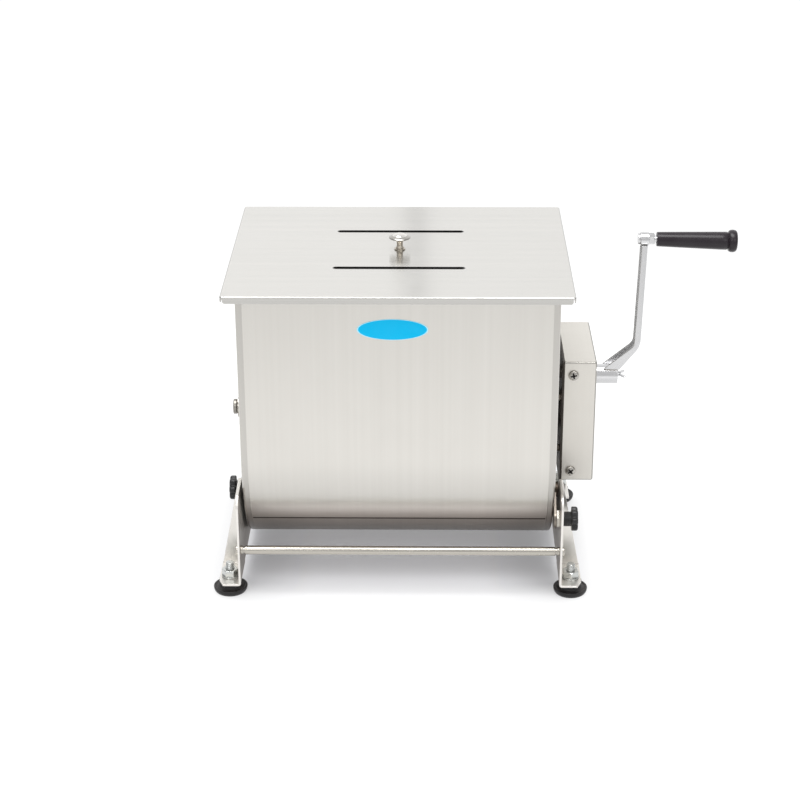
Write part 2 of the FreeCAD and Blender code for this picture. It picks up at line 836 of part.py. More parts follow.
def lock_block():
    # Threaded block welded inside the right plate.
    start = catch_face + catch_play
    blank = hexagon_x(start, right_inner, lock_block_flats, lock_y, lock_height)
    return blank.cut(rod_x(start - 1, right_inner + 1, lock_radius + thread_gap, lock_y, lock_height))


def lock_washer():
    start = right_outer
    return ring_x(start, start + washer, washer_radius, lock_radius + running_gap, lock_y, lock_height)


def lock_screw():
    start = catch_face + catch_play
    end = right_outer + washer + plate_play + lock_hub_length + star_thickness - stud_wall
    return rod_x(start, end, lock_radius, lock_y, lock_height)


def ring_housing(x0, x1, radius):
    housing = ring_x(x0, x1, radius, housing_bore, 0, shaft_height)
    outer = x0 if x0 < 0 else x1
    return fillet_where(housing, housing_round, lambda e: outer_circle(e, outer, radius))


def outer_circle(edge, x, radius):
    bounds = edge_box(edge)
    return lies_at(bounds.XMin, bounds.XMax, x) and bounds.YLength > 2 * radius - 0.1


def shaft_bush(x0, x1):
    return ring_x(x0, x1, housing_bore, shaft_radius + running_gap, 0, shaft_height)


def shaft_seal(side):
    inside = side * (tank_half_length - tank_sheet)
    end = inside - side * seal_length
    outer = shaft_radius + seal_wall
    points = [
        (inside, shaft_radius + running_gap), (inside, outer), (inside - side * seal_rim, outer),
        (end, outer - seal_lip), (end, shaft_radius + running_gap),
    ]
    return revolve_x(points, 0, shaft_height)


def gearbox_back_plate():
    bottom = shaft_height - box_bottom - back_plate_drop
    plate = box(plate_start, cover_start, -box_half, box_half, bottom, shaft_height + box_top)
    plate = fillet_where(plate, back_plate_round, lambda e: e.BoundBox.XLength > 1 and e.BoundBox.YLength < 0.01)
    lug_face = box_half - cover_sheet - lug_play
    for side in (-1, 1):
        for z in cover_screws:
            near = side * lug_face
            far = side * (lug_face - lug_depth)
            low, high = min(near, far), max(near, far)
            lug = box(cover_start, cover_start + lug_width, low, high, z - lug_height / 2, z + lug_height / 2)
            plate = plate.fuse(lug)
    plate = plate.removeSplitter()
    for side in (-1, 1):
        for z in cover_screws:
            hole = rod_y(-box_half, box_half, cover_screw_radius + thread_gap, cover_start + cover_screw_offset, z)
            plate = plate.cut(hole)
        for up in (-1, 1):
            y = side * standoff_y
            z = shaft_height + up * standoff_z
            plate = plate.cut(rod_x(plate_start - 1, cover_start + 1, standoff_bolt_radius + hole_gap, y, z))
    plate = plate.cut(rod_x(plate_start - 1, cover_start + 1, shaft_radius + shaft_hole_gap, 0, shaft_height))
    bush = pinion_shaft_radius + running_gap + pinion_bush_wall
    return plate.cut(rod_x(plate_start - 1, cover_start + 1, bush, 0, crank_height))


def gearbox_cover():
    bottom = shaft_height - box_bottom
    top = shaft_height + box_top
    outer = box(cover_start, cover_end, -box_half, box_half, bottom, top)
    outer = fillet_where(outer, cover_bend, lambda e: not at_cover_mouth(e))
    half = box_half - cover_sheet
    end = cover_end - cover_sheet
    inner = box(cover_start, end, -half, half, bottom + cover_sheet, top - cover_sheet)
    inner = fillet_where(inner, cover_bend - cover_sheet, lambda e: not at_cover_mouth(e))
    cover = outer.cut(inner)
    for z in cover_screws:
        x = cover_start + cover_screw_offset
        cover = cover.cut(rod_y(-box_half - 1, box_half + 1, cover_screw_radius + hole_gap, x, z))
    bush = pinion_shaft_radius + running_gap + pinion_bush_wall
    return cover.cut(rod_x(end - 1, cover_end + 1, bush, 0, crank_height))


def at_cover_mouth(edge):
    bounds = edge_box(edge)
    return lies_at(bounds.XMin, bounds.XMax, cover_start)


def cover_screw(side, z):
    # Pan head with a cross recess, its shank in a lug of the back plate.
    x = cover_start + cover_screw_offset
    face = side * box_half
    top = face + side * cover_screw_head
    tip = face - side * cover_screw_length
    head = rod_y(min(face, top), max(face, top), cover_screw_head_radius, x, z)
    head = fillet_where(head, cover_screw_head * 0.72, lambda e: lies_at(e.BoundBox.YMin, e.BoundBox.YMax, top))
    screw = head.fuse(rod_y(min(face, tip), max(face, tip), cover_screw_radius, x, z))
    reach = cover_screw_cross
    half = cover_screw_cross_width / 2
    depth = top - side * cover_screw_cross_depth
    low, high = min(top, depth), max(top, depth)
    cross = box(x - reach, x + reach, low, high, z - half, z + half)
    cross = cross.fuse(box(x - half, x + half, low, high, z - reach, z + reach))
    cross.rotate(vec(x, 0, z), vec(0, 1, 0), cover_screw_turn)
    return screw.cut(cross)


def gearbox_standoff(y, z):
    return ring_x(tank_half_length, plate_start, standoff_radius, standoff_bolt_radius + thread_gap, y, z)


def standoff_bolt(y, z):
    tip = tank_half_length + standoff_bolt_gap
    head_end = cover_start + standoff_bolt_head
    head = rod_x(cover_start, head_end, standoff_bolt_head_radius, y, z)
    return head.fuse(rod_x(tip, cover_start, standoff_bolt_radius, y, z))


def involute_gear(teeth, width, x0, z, turn):
    # Full-depth involute teeth; turn is the angle of the first tooth's middle from +Y, in degrees.
    pitch = gear_module * teeth / 2
    base = pitch * math.cos(math.radians(pressure_angle))
    tip = pitch + gear_module
    root = pitch - 1.25 * gear_module
    spread = math.tan(math.radians(pressure_angle)) - math.radians(pressure_angle)
    half_tooth = math.pi / (2 * teeth) - gear_backlash / (2 * pitch) / 2

    def flank(radius):
        angle = math.acos(min(1.0, base / radius))
        return half_tooth + spread - (math.tan(angle) - angle)

    def place(radius, angle):
        return vec(x0, radius * math.cos(angle), z + radius * math.sin(angle))

    low = max(base, root)
    radii = [low + (tip - low) * k / 4 for k in range(5)]
    edges = []
    last = None
    first = None
    for tooth in range(teeth):
        middle = math.radians(turn) + 2 * math.pi * tooth / teeth
        rising = [place(r, middle - flank(r)) for r in radii]
        falling = [place(r, middle + flank(r)) for r in reversed(radii)]
        foot_in = place(root, middle - flank(low))
        foot_out = place(root, middle + flank(low))
        if last is None:
            first = foot_in
        else:
            edges.append(Part.makeLine(last, foot_in))
        if low > root + 1e-6:
            edges.append(Part.makeLine(foot_in, rising[0]))
        edges.append(spline_edge(rising))
        edges.append(Part.makeLine(rising[-1], falling[0]))
        edges.append(spline_edge(falling))
        if low > root + 1e-6:
            edges.append(Part.makeLine(falling[-1], foot_out))
        last = foot_out
    edges.append(Part.makeLine(last, first))
    return Part.Face(Part.Wire(edges)).extrude(vec(width, 0, 0))


def spline_edge(points):
    curve = Part.BSplineCurve()
    curve.interpolate(points)
    return curve.toShape()


def main_gear():
    gear = involute_gear(gear_teeth, gear_width, gear_x, shaft_height, gear_first_tooth)
    face = gear_x + gear_width
    recess_radius = gear_module * gear_teeth / 2 + gear_module - gear_rim
    recess = ring_x(face - gear_recess, face, recess_radius, gear_hub_radius, 0, shaft_height)
    bore = rod_x(gear_x - 1, gear_x + gear_width + 1, gear_seat_radius + thread_gap, 0, shaft_height)
    return gear.cut(recess).cut(bore)


def pinion():
    half_pitch = 180.0 / pinion_teeth
    turn = gear_first_tooth - 180 + half_pitch
    gear = involute_gear(pinion_teeth, pinion_width, pinion_x, crank_height, turn)
    start = pinion_x - 1
    return gear.cut(rod_x(start, pinion_x + pinion_width + 1, pinion_shaft_radius + thread_gap, 0, crank_height))


def mixing_shaft():
    seat = gear_x - gear_spacer
    end = gear_x + gear_width + gear_washer + gear_nut + shaft_tail
    shaft = rod_x(shaft_left_end, seat, shaft_radius, 0, shaft_height)
    shaft = shaft.fuse(rod_x(seat, end, gear_seat_radius, 0, shaft_height))
    bore_end = shaft_left_end + end_bolt_depth
    return shaft.cut(rod_x(shaft_left_end, bore_end, end_bolt_radius + thread_gap, 0, shaft_height))


def gear_spacer_ring():
    seat = gear_x - gear_spacer
    return ring_x(seat, gear_x, gear_spacer_radius, gear_seat_radius + thread_gap, 0, shaft_height)


def gear_washer_ring():
    start = gear_x + gear_width
    return ring_x(start, start + gear_washer, gear_washer_radius, gear_seat_radius + thread_gap, 0, shaft_height)


def gear_nut_piece():
    start = gear_x + gear_width + gear_washer
    end = start + gear_nut
    blank = hexagon_x(start, end, gear_nut_flats, 0, shaft_height)
    nut = chamfered_nut(blank, vec(start, 0, shaft_height), vec(end, 0, shaft_height), gear_nut_flats)
    return nut.cut(rod_x(start - 1, end + 1, gear_seat_radius + thread_gap, 0, shaft_height))


def end_washer_ring():
    start = shaft_left_end - end_washer
    return ring_x(start, shaft_left_end, end_washer_radius, end_bolt_radius + thread_gap, 0, shaft_height)


def end_bolt():
    face = shaft_left_end - end_washer
    top = face - end_bolt_head
    blank = hexagon_x(top, face, end_bolt_flats, 0, shaft_height)
    head = chamfered_nut(blank, vec(face, 0, shaft_height), vec(top, 0, shaft_height), end_bolt_flats)
    tip = shaft_left_end + end_bolt_depth - screw_tip_gap
    return head.fuse(rod_x(face, tip, end_bolt_radius, 0, shaft_height))


def paddle_places():
    places = []
    for k in range(paddle_count):
        x = (k - (paddle_count - 1) / 2) * paddle_pitch
        places.append((x, paddle_first_angle + k * paddle_step_angle))
    return places


def paddle_arm(x, angle):
    arm = rod_z(shaft_height, shaft_height + paddle_reach - blade_height, paddle_arm_radius, x, 0)
    arm.rotate(vec(x, 0, shaft_height), vec(1, 0, 0), angle)
    return arm.cut(rod_x(x - 20, x + 20, shaft_radius, 0, shaft_height))


def paddle_blade(x, angle):
    # A twisted blade whose outer edge follows the trough.
    inner = shaft_height + paddle_reach - blade_height
    outer = shaft_height + paddle_reach + blade_trim
    half = blade_width / 2
    blade = box(x - half, x + half, -blade_sheet / 2, blade_sheet / 2, inner, outer)
    blade = fillet_where(blade, blade_corner, lambda e: blade_corner_edge(e, inner))
    blade.rotate(vec(x, 0, shaft_height), vec(0, 0, 1), blade_twist)
    blade = blade.common(rod_x(x - half - 1, x + half + 1, paddle_reach, 0, shaft_height))
    blade.rotate(vec(x, 0, shaft_height), vec(1, 0, 0), angle)
    return blade


def blade_corner_edge(edge, inner):
    bounds = edge_box(edge)
    across = bounds.YLength > 1 and bounds.XLength < 0.01 and bounds.ZLength < 0.01
    return across and abs(bounds.ZMax - inner) < 0.01


def pinion_shaft():
    start = plate_start - pinion_tail
    end = hub_end - wing_seat
    shaft = rod_x(start, end, pinion_shaft_radius, 0, crank_height)
    return shaft.cut(rod_x(end - wing_screw_depth, end, wing_screw_radius + thread_gap, 0, crank_height))


def pinion_bush(x0, x1, flange_start, flange_end):
    radius = pinion_shaft_radius + running_gap + pinion_bush_wall
    bush = rod_x(x0, x1, radius, 0, crank_height)
    bush = bush.fuse(rod_x(flange_start, flange_end, radius + pinion_bush_rim, 0, crank_height))
    low = min(x0, flange_start) - 1
    high = max(x1, flange_end) + 1
    return bush.cut(rod_x(low, high, pinion_shaft_radius + running_gap, 0, crank_height))


def crank_hub():
    hub = rod_x(hub_start, hub_end, hub_radius, 0, crank_height)
    hub = fillet_where(hub, hub_edge, lambda e: e.BoundBox.XLength < 0.01)
    bore = rod_x(hub_start - 1, hub_end - wing_seat, pinion_shaft_radius + thread_gap, 0, crank_height)
    return hub.cut(bore).cut(rod_x(hub_start, hub_end + 1, wing_screw_radius + hole_gap, 0, crank_height))


def arm_outline(depth_low, depth_high):
    # The arm seen from the front, as (x, height above the crank axis); its outer line is the web.
    low = arm_foot_rise
    foot = cover_end + arm_foot_reach
    top = crank_radius - eye_seat
    outer = [(foot, low), (arm_elbow, arm_elbow_rise), (arm_top, top)]
    slope = math.atan2(arm_elbow_rise - low, arm_elbow - foot)
    inner_foot = (foot - depth_low / math.sin(slope), low)
    inner_elbow = (arm_elbow - depth_high, arm_elbow_rise + depth_high * math.tan((math.pi / 2 - slope) / 2))
    inner = [inner_foot, inner_elbow, (arm_top - depth_high, top)]
    return outer, inner


def arm_face(outer, inner, y):
    points = outer + inner[::-1]
    return polygon([vec(x, y, crank_height + z) for x, z in points])


def crank_arm():
    # A folded channel, open towards the gearbox, saddled onto the hub at its foot.
    half = arm_width / 2
    outer, inner = arm_outline(arm_foot_depth, arm_depth)
    body = arm_face(outer, inner, -half).extrude(vec(0, arm_width, 0))
    body = fillet_where(body, arm_bend, arm_elbow_edge)
    core_outer = [(x - arm_sheet, z) for x, z in outer]
    core_inner = [(x - arm_width, z) for x, z in inner]
    core_outer[0] = (core_outer[0][0] - cut_past * 0.8, core_outer[0][1] - cut_past)
    core_inner[0] = (core_inner[0][0], core_inner[0][1] - cut_past)
    core_outer[2] = (core_outer[2][0], core_outer[2][1] + cut_past)
    core_inner[2] = (core_inner[2][0], core_inner[2][1] + cut_past)
    hollow = arm_face(core_outer, core_inner, -half + arm_sheet).extrude(vec(0, arm_width - 2 * arm_sheet, 0))
    hollow = fillet_where(hollow, arm_bend - arm_sheet, hollow_elbow_edge)
    arm = body.cut(hollow)
    arm = arm.cut(rod_x(hub_start - 1, hub_end, hub_radius, 0, crank_height))
    return arm.cut(droop(rod_x(eye_start - 1, eye_end + 1, eye_radius + eye_gap, 0, eye_height)))


def arm_elbow_edge(edge):
    bounds = edge_box(edge)
    across = bounds.YLength > 1 and bounds.XLength < 0.01 and bounds.ZLength < 0.01
    return across and abs(bounds.XMax - arm_elbow) < 0.01


def hollow_elbow_edge(edge):
    bounds = edge_box(edge)
    across = bounds.YLength > 1 and bounds.XLength < 0.01 and bounds.ZLength < 0.01
    return across and abs(bounds.XMax - (arm_elbow - arm_sheet)) < 0.01


def droop(shape):
    # The eye, pin and grip stand square to the leaning arm.
    turned = shape.copy()
    turned.rotate(vec(arm_top, 0, eye_height), vec(0, 1, 0), grip_droop)
    return turned


def crank_eye():
    eye = rod_x(eye_start, eye_end, eye_radius, 0, eye_height)
    eye = fillet_where(eye, eye_edge, lambda e: e.BoundBox.XLength < 0.01)
    return eye.cut(rod_x(eye_start - 1, eye_end + 1, pin_radius + thread_gap, 0, eye_height))


def grip_pin():
    head = rod_x(eye_start - pin_head, eye_start, pin_head_radius, 0, eye_height)
    end = grip_end - grip_end_recess
    pin = head.fuse(rod_x(eye_start, end, pin_radius, 0, eye_height))
    return pin.fuse(rod_x(end, end + pin_end_head, pin_end_head_radius, 0, eye_height))


def grip_pin_nut():
    blank = hexagon_x(eye_end, pin_nut_end, pin_nut_flats, 0, eye_height)
    nut = chamfered_nut(blank, vec(eye_end, 0, eye_height), vec(pin_nut_end, 0, eye_height), pin_nut_flats)
    return nut.cut(rod_x(eye_end - 1, pin_nut_end + 1, pin_radius + thread_gap, 0, eye_height))


def grip():
    bead_start = grip_end - grip_bead_length
    bead = grip_bead_radius
    bore = pin_radius + running_gap
    recess = pin_end_head_radius + grip_recess_gap
    recess_start = grip_end - grip_end_recess - spacer_play
    taper = [
        (grip_start, bore), (grip_start, grip_small_radius - grip_edge),
        (grip_start + grip_edge, grip_small_radius), (bead_start - grip_groove_start, grip_large_radius),
        (bead_start - grip_groove_floor, grip_large_radius - grip_groove),
        (bead_start + grip_bead_start, grip_large_radius - grip_groove),
    ]
    round_bead = []
    steps = 8
    for k in range(steps + 1):
        turn = math.pi * k / steps
        half = (grip_bead_length - grip_bead_start) / 2
        x = bead_start + grip_bead_start + half - half * math.cos(turn)
        r = bead - grip_bead_round + grip_bead_round * math.sin(turn) ** 0.7
        round_bead.append((x, max(r, grip_large_radius - grip_groove)))
    bottom = [(grip_end, recess), (recess_start, recess), (recess_start, bore)]
    return revolve_x(taper + round_bead[1:] + bottom, 0, eye_height)


def wing_screw():
    face = hub_end
    seat = face + wing_gap
    shank = rod_x(face - wing_seat - wing_screw_depth + screw_tip_gap, seat, wing_screw_radius, 0, crank_height)
    tip_radius = wing_hub_radius - wing_boss_taper
    boss = Part.makeCone(wing_hub_radius, tip_radius, wing_boss, vec(seat, 0, crank_height), vec(1, 0, 0))
    screw = shank.fuse(boss)
    for side in (-1, 1):
        half = wing_thickness / 2
        wing = polygon([
            vec(seat + wing_root, side * wing_root_inset, crank_height - half),
            vec(seat + wing_root + wing_root_height, side * wing_root_inset, crank_height - half),
            vec(seat + wing_length + wing_slant, side * (wing_reach - wing_tip), crank_height - half),
            vec(seat + wing_length + wing_slant, side * wing_reach, crank_height - half),
            vec(seat + wing_length - wing_slant, side * wing_reach, crank_height - half),
        ]).extrude(vec(0, 0, wing_thickness))
        screw = screw.fuse(wing)
    return screw.removeSplitter()


def stand_pieces():
    rod_hole = rod_screw_radius + hole_gap
    shared = [(rod_hole, y, z) for y, z in rods]
    pivot_hole = (pivot_radius + running_gap, pivot_y, pivot_height)
    lock_hole = (lock_radius + hole_gap, lock_y, lock_height)
    save("left_side_plate", [side_plate(left_inner, -1, shared + [pivot_hole])])
    save("right_side_plate", [side_plate(right_inner, 1, shared + [pivot_hole, lock_hole])])
    save("front_tie_rod", [tie_rod(*rods[0])])
    save("rear_tie_rod", [tie_rod(*rods[1])])
    screws = []
    for y, z in rods:
        screws.append(tie_rod_screw(left_outer, -1, y, z))
        screws.append(tie_rod_screw(right_outer, 1, y, z))
    save("tie_rod_screws", screws)
    feet = [(x, y) for x in foot_x for y in foot_y]
    save("rubber_feet", [rubber_foot(x, y) for x, y in feet])
    save("foot_bolts", [foot_bolt(x, y) for x, y in feet])
    save("foot_washers", [foot_washer_ring(x, y) for x, y in feet])
    save("foot_nuts", [foot_nut_piece(x, y, foot_nut_turn * k) for k, (x, y) in enumerate(feet)])
    save("tilt_lock_block", [lock_block()])
    save("tilt_lock_washer", [lock_washer()])


def tank_pieces():
    pivot_hole = (pivot_radius + running_gap, pivot_y, pivot_height)
    shaft_hole = (housing_bore, 0, shaft_height)
    save("tank_shell", [tank_shell()])
    save("tank_left_end", [tank_end(-1, [pivot_hole, shaft_hole])])
    save("tank_right_end", [tank_end(1, [pivot_hole, shaft_hole])])
    save("blank_label", [label()])
    housing_start = shaft_left_end + bush_end_gap
    save("left_bearing_housing", [ring_housing(housing_start, -tank_half_length, left_housing_radius)])
    save("right_bearing_housing", [ring_housing(tank_half_length, plate_start, right_housing_radius)])
    left_bush = shaft_bush(housing_start, -tank_half_length + tank_sheet)
    right_bush = shaft_bush(tank_half_length - tank_sheet, plate_start)
    save("shaft_bushes", [left_bush, right_bush])
    save("shaft_seals", [shaft_seal(-1), shaft_seal(1)])
    save("pivot_studs", [pivot_stud(-1), pivot_stud(1)])
    save("pivot_washers", [pivot_washer(-1), pivot_washer(1)])
    save("left_pivot_spacer", [left_pivot_spacer()])
    save("right_pivot_spacer", [right_pivot_spacer()])
    save("right_pivot_nut", [right_pivot_nut()])
    save("lock_catch", [lock_catch()])


def gearbox_pieces():
    corners = [(a * standoff_y, shaft_height + b * standoff_z) for a in (-1, 1) for b in (-1, 1)]
    save("gearbox_back_plate", [gearbox_back_plate()])
    save("gearbox_cover", [gearbox_cover()])
    save("cover_screws", [cover_screw(side, z) for side in (-1, 1) for z in cover_screws])
    save("gearbox_standoffs", [gearbox_standoff(y, z) for y, z in corners])
    save("gearbox_bolts", [standoff_bolt(y, z) for y, z in corners])
    plate_bush = pinion_bush(plate_start, cover_start, cover_start, cover_start + pinion_bush_flange)
    inner_face = cover_end - cover_sheet
    cover_bush = pinion_bush(inner_face, cover_end, cover_end, cover_end + pinion_bush_flange)
    save("pinion_bushes", [plate_bush, cover_bush])


def paddle_pieces():
    save("mixing_shaft", [mixing_shaft()])
    save("paddle_arms", [paddle_arm(x, angle) for x, angle in paddle_places()])
    save("paddle_blades", [paddle_blade(x, angle) for x, angle in paddle_places()])
    save("main_gear", [main_gear()])
    save("gear_spacer", [gear_spacer_ring()])
    save("gear_washer", [gear_washer_ring()])
    save("gear_nut", [gear_nut_piece()])
    save("shaft_end_washer", [end_washer_ring()])
    save("shaft_end_bolt", [end_bolt()])


def crank_pieces():
    save("pinion_shaft", [pinion_shaft()])
    save("pinion_gear", [pinion()])
    save("crank_hub", [crank_hub()])
    save("crank_arm", [crank_arm()])
    save("crank_eye", [droop(crank_eye())])
    save("crank_wing_screw", [wing_screw()])
    save("grip_pin", [droop(grip_pin())])
    save("grip_pin_nut", [droop(grip_pin_nut())])
    save("crank_grip", [droop(grip())])


def hand_pieces():
    save("lid", [lid()])
    save("lid_knob", [lid_knob()])
    save("lid_knob_screw", [lid_knob_screw()])
    left_start = left_outer - plate_play - washer
    bore = pivot_radius + running_gap
    save("left_pivot_knob", [star_wheel(left_start, -1, left_hub_length, pivot_y, pivot_height, bore)])
    lock_start = right_outer + washer + plate_play
    bore = lock_radius + thread_gap
    save("tilt_lock_knob", [star_wheel(lock_start, 1, lock_hub_length, lock_y, lock_height, bore)])
    save("tilt_lock_screw", [lock_screw()])


os.makedirs("parts", exist_ok=True)
stand_pieces()
tank_pieces()
gearbox_pieces()
paddle_pieces()
crank_pieces()
hand_pieces()
print("origin offset", round(origin_x, 3), round(origin_y, 3), "grip droop", round(grip_droop, 3))
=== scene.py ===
import json
import math
import random

import bmesh
import bpy
from mathutils import Matrix, Vector


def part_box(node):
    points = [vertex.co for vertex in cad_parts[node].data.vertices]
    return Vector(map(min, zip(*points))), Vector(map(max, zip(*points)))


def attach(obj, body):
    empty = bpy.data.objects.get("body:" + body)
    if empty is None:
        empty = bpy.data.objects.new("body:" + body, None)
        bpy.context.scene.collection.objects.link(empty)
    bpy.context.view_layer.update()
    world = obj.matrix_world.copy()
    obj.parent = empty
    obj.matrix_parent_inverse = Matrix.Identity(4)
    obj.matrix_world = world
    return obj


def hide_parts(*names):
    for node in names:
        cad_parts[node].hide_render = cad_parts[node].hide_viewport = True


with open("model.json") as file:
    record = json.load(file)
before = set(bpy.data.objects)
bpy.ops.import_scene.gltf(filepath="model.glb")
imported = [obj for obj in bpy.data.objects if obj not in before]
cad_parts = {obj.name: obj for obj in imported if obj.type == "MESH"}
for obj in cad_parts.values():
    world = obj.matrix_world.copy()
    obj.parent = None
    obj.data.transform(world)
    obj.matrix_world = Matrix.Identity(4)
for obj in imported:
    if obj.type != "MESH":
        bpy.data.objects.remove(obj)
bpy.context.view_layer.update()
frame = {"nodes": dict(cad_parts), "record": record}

scene = bpy.context.scene
nodes = frame["nodes"]
random.seed(7)
mm = 0.001

# camera, where the photographer stood
cameraView = {
    "place": (-0.05139, -2.15293, 1.13352),  # metres, in the mixer's frame
    "pitchDown": 23.7493,  # degrees below level
    "turnLeft": 0.9753,
    "roll": -0.1992,
    "lens": 86.75,  # millimetres
    "sensor": 36.0,
    "farthest": 50.0,
}


def makeCamera(view):
    camera = bpy.data.cameras.new("studioCamera")
    camera.lens = view["lens"]
    camera.sensor_width = view["sensor"]
    camera.clip_end = view["farthest"]
    holder = bpy.data.objects.new("studioCamera", camera)
    scene.collection.objects.link(holder)
    turn = Matrix.Rotation(math.radians(view["turnLeft"]), 4, "Z")
    tip = Matrix.Rotation(math.radians(90 - view["pitchDown"]), 4, "X")
    roll = Matrix.Rotation(math.radians(view["roll"]), 4, "Z")
    holder.matrix_world = Matrix.Translation(view["place"]) @ turn @ tip @ roll
    scene.camera = holder


makeCamera(cameraView)


# node helpers
def feed(tree, socket, value):
    # a socket is linked, and a plain value is set on the socket itself
    if isinstance(value, bpy.types.NodeSocket):
        tree.links.new(value, socket)
    elif value is not None:
        bareColor = socket.type == "RGBA" and len(value) == 3
        socket.default_value = (*value, 1.0) if bareColor else value


def fillNode(tree, node, values):
    for label, value in values.items():
        feed(tree, node.inputs[label], value)
    return node.outputs


def addNode(tree, kind, **settings):
    node = tree.nodes.new("ShaderNode" + kind)
    for key, value in settings.items():
        setattr(node, key, value)
    return node


def mathNode(tree, operation, *values, clamp=False):
    node = addNode(tree, "Math", operation=operation, use_clamp=clamp)
    return fillNode(tree, node, dict(enumerate(values)))[0]


def times(tree, first, second, clamp=False):
    return mathNode(tree, "MULTIPLY", first, second, clamp=clamp)


def vectorNode(tree, operation, *values):
    node = addNode(tree, "VectorMath", operation=operation)
    outputs = fillNode(tree, node, dict(enumerate(values)))
    return outputs["Value" if operation in ("LENGTH", "DOT_PRODUCT") else "Vector"]


def axesOf(tree, vector):
    return fillNode(tree, addNode(tree, "SeparateXYZ"), {0: vector})


def rangeNode(tree, value, fromLow, fromHigh, toLow, toHigh):
    limits = {"From Min": fromLow, "From Max": fromHigh, "To Min": toLow, "To Max": toHigh}
    return fillNode(tree, addNode(tree, "MapRange"), {"Value": value, **limits})["Result"]


def noiseNode(tree, vector, scale, detail, roughness=0.55, distortion=0.0):
    values = {"Vector": vector, "Scale": scale, "Detail": detail}
    values.update({"Roughness": roughness, "Distortion": distortion})
    return fillNode(tree, addNode(tree, "TexNoise"), values)["Fac"]


def mixVector(tree, factor, first, second):
    node = addNode(tree, "Mix", data_type="VECTOR")
    return fillNode(tree, node, {"Factor": factor, 4: first, 5: second})[1]


def mixColor(tree, factor, first, second, blend="MIX"):
    node = addNode(tree, "Mix", data_type="RGBA", blend_type=blend)
    return fillNode(tree, node, {"Factor": factor, 6: first, 7: second})[2]


def bumpNode(tree, height, strength, distance, normal=None):
    values = {"Height": height, "Strength": strength, "Distance": distance, "Normal": normal}
    return fillNode(tree, addNode(tree, "Bump"), values)["Normal"]


def arrange(tree):
    # nodes stand in columns, by the longest chain of links before each
    columns = {}

    def column(node):
        if node.name not in columns:
            before = [link.from_node for link in tree.links if link.to_node == node]
            columns[node.name] = 1 + max((column(other) for other in before), default=-1)
        return columns[node.name]

    filled = {}
    for node in tree.nodes:
        place = column(node)
        filled[place] = filled.get(place, 0) + 1
        node.location = (220 * place, -260 * filled[place])


def startMaterial(name):
    material = bpy.data.materials.new(name)
    material.use_nodes = True
    tree = material.node_tree
    return material, tree, tree.nodes["Principled BSDF"], addNode(tree, "TexCoord").outputs


def closeMaterial(material, tree, shader, values):
    fillNode(tree, shader, values)
    arrange(tree)
    return material


# studio: pale floor that rises to white, lit backdrop, dimmer sides so that steel edges read
studio = {
    "floorSize": 6.0,
    "floorColor": (0.90, 0.905, 0.935),
    "floorRoughness": 0.4,
    "floorShine": 0.3,
    "standCentre": (-0.08765, -0.018, 0.0),  # the floor is shaded under the stand and glows white round it
    "standHalf": (0.184, 0.105, 1.0),
    "fadeWidth": 0.055,
    "riseRange": (0.06, 0.40),  # metres from the stand over which the glow grows, and then falls again
    "fallRange": (0.45, 0.95),
    "glowNear": 1.04,
    "glowMiddle": 1.32,
    "glowFar": 1.05,
    "shadowLift": 0.15,
    # painted shade: the floor's colour is darkened at both ends of the stand, against its middle
    "endRange": (0.105, 0.185),
    "endShade": 0.62,  # the floor at both ends of the stand, against its middle
    "backdropGlow": 1.42,  # radiance of the lit backdrop low behind the mixer
    "roomGlow": 0.95,  # radiance of the ceiling and the front of the room
    "depthRange": (0.20, 0.80),
    "sideShare": 0.68,  # how much of that is left at the sides
    "sideRange": (0.40, 0.85),
    "panelGapPlace": -0.008,  # where two backdrop panels meet, as x over y
    "panelGapRange": (0.0027, 0.0081),
    "panelGapShade": 0.74,
}
softBoxes = [  # name, place, aimed at, width, height, watts
    ("topBox", (-0.15, -0.32, 2.4), (-0.05, -0.20, 0.0), 2.2, 1.2, 52.0),
    ("keyBox", (-1.1, -2.3, 1.9), (0.0, -0.1, 0.1), 1.3, 1.1, 11.0),
    ("fillBox", (1.6, -2.3, 1.6), (0.0, -0.1, 0.1), 1.2, 1.1, 7.0),
]


def makeFloor(look):
    half = look["floorSize"] / 2
    mesh = bpy.data.meshes.new("studioFloor")
    corners = [(-half, -half, 0), (half, -half, 0), (half, half, 0), (-half, half, 0)]
    mesh.from_pydata(corners, [], [(0, 1, 2, 3)])
    floor = bpy.data.objects.new("studioFloor", mesh)
    scene.collection.objects.link(floor)
    material, tree, shader, place = startMaterial("paleFloor")
    outward = vectorNode(tree, "ABSOLUTE", vectorNode(tree, "SUBTRACT", place["Object"], look["standCentre"]))
    # painted shade at both ends of the stand
    ends = rangeNode(tree, axesOf(tree, outward)["X"], *look["endRange"], 1.0, look["endShade"])
    beyond = vectorNode(tree, "MAXIMUM", vectorNode(tree, "SUBTRACT", outward, look["standHalf"]))
    away = vectorNode(tree, "LENGTH", beyond)
    fade = rangeNode(tree, away, 0.0, look["fadeWidth"], 0.0, 1.0)
    rising = rangeNode(tree, away, *look["riseRange"], look["glowNear"], look["glowMiddle"])
    falling = rangeNode(tree, away, *look["fallRange"], 0.0, look["glowMiddle"] - look["glowFar"])
    strength = mathNode(tree, "SUBTRACT", rising, falling)
    glow = fillNode(tree, addNode(tree, "Emission"), {"Strength": strength})
    blend = fillNode(tree, addNode(tree, "MixShader"), {0: fade, 1: shader.outputs[0], 2: glow[0]})
    feed(tree, tree.nodes["Material Output"].inputs["Surface"], blend[0])
    closeMaterial(material, tree, shader, {
        "Base Color": vectorNode(tree, "MULTIPLY", look["floorColor"], ends),
        "Roughness": look["floorRoughness"],
        "Specular IOR Level": look["floorShine"],
        "Emission Color": look["floorColor"],
        "Emission Strength": look["shadowLift"],
    })
    mesh.materials.append(material)


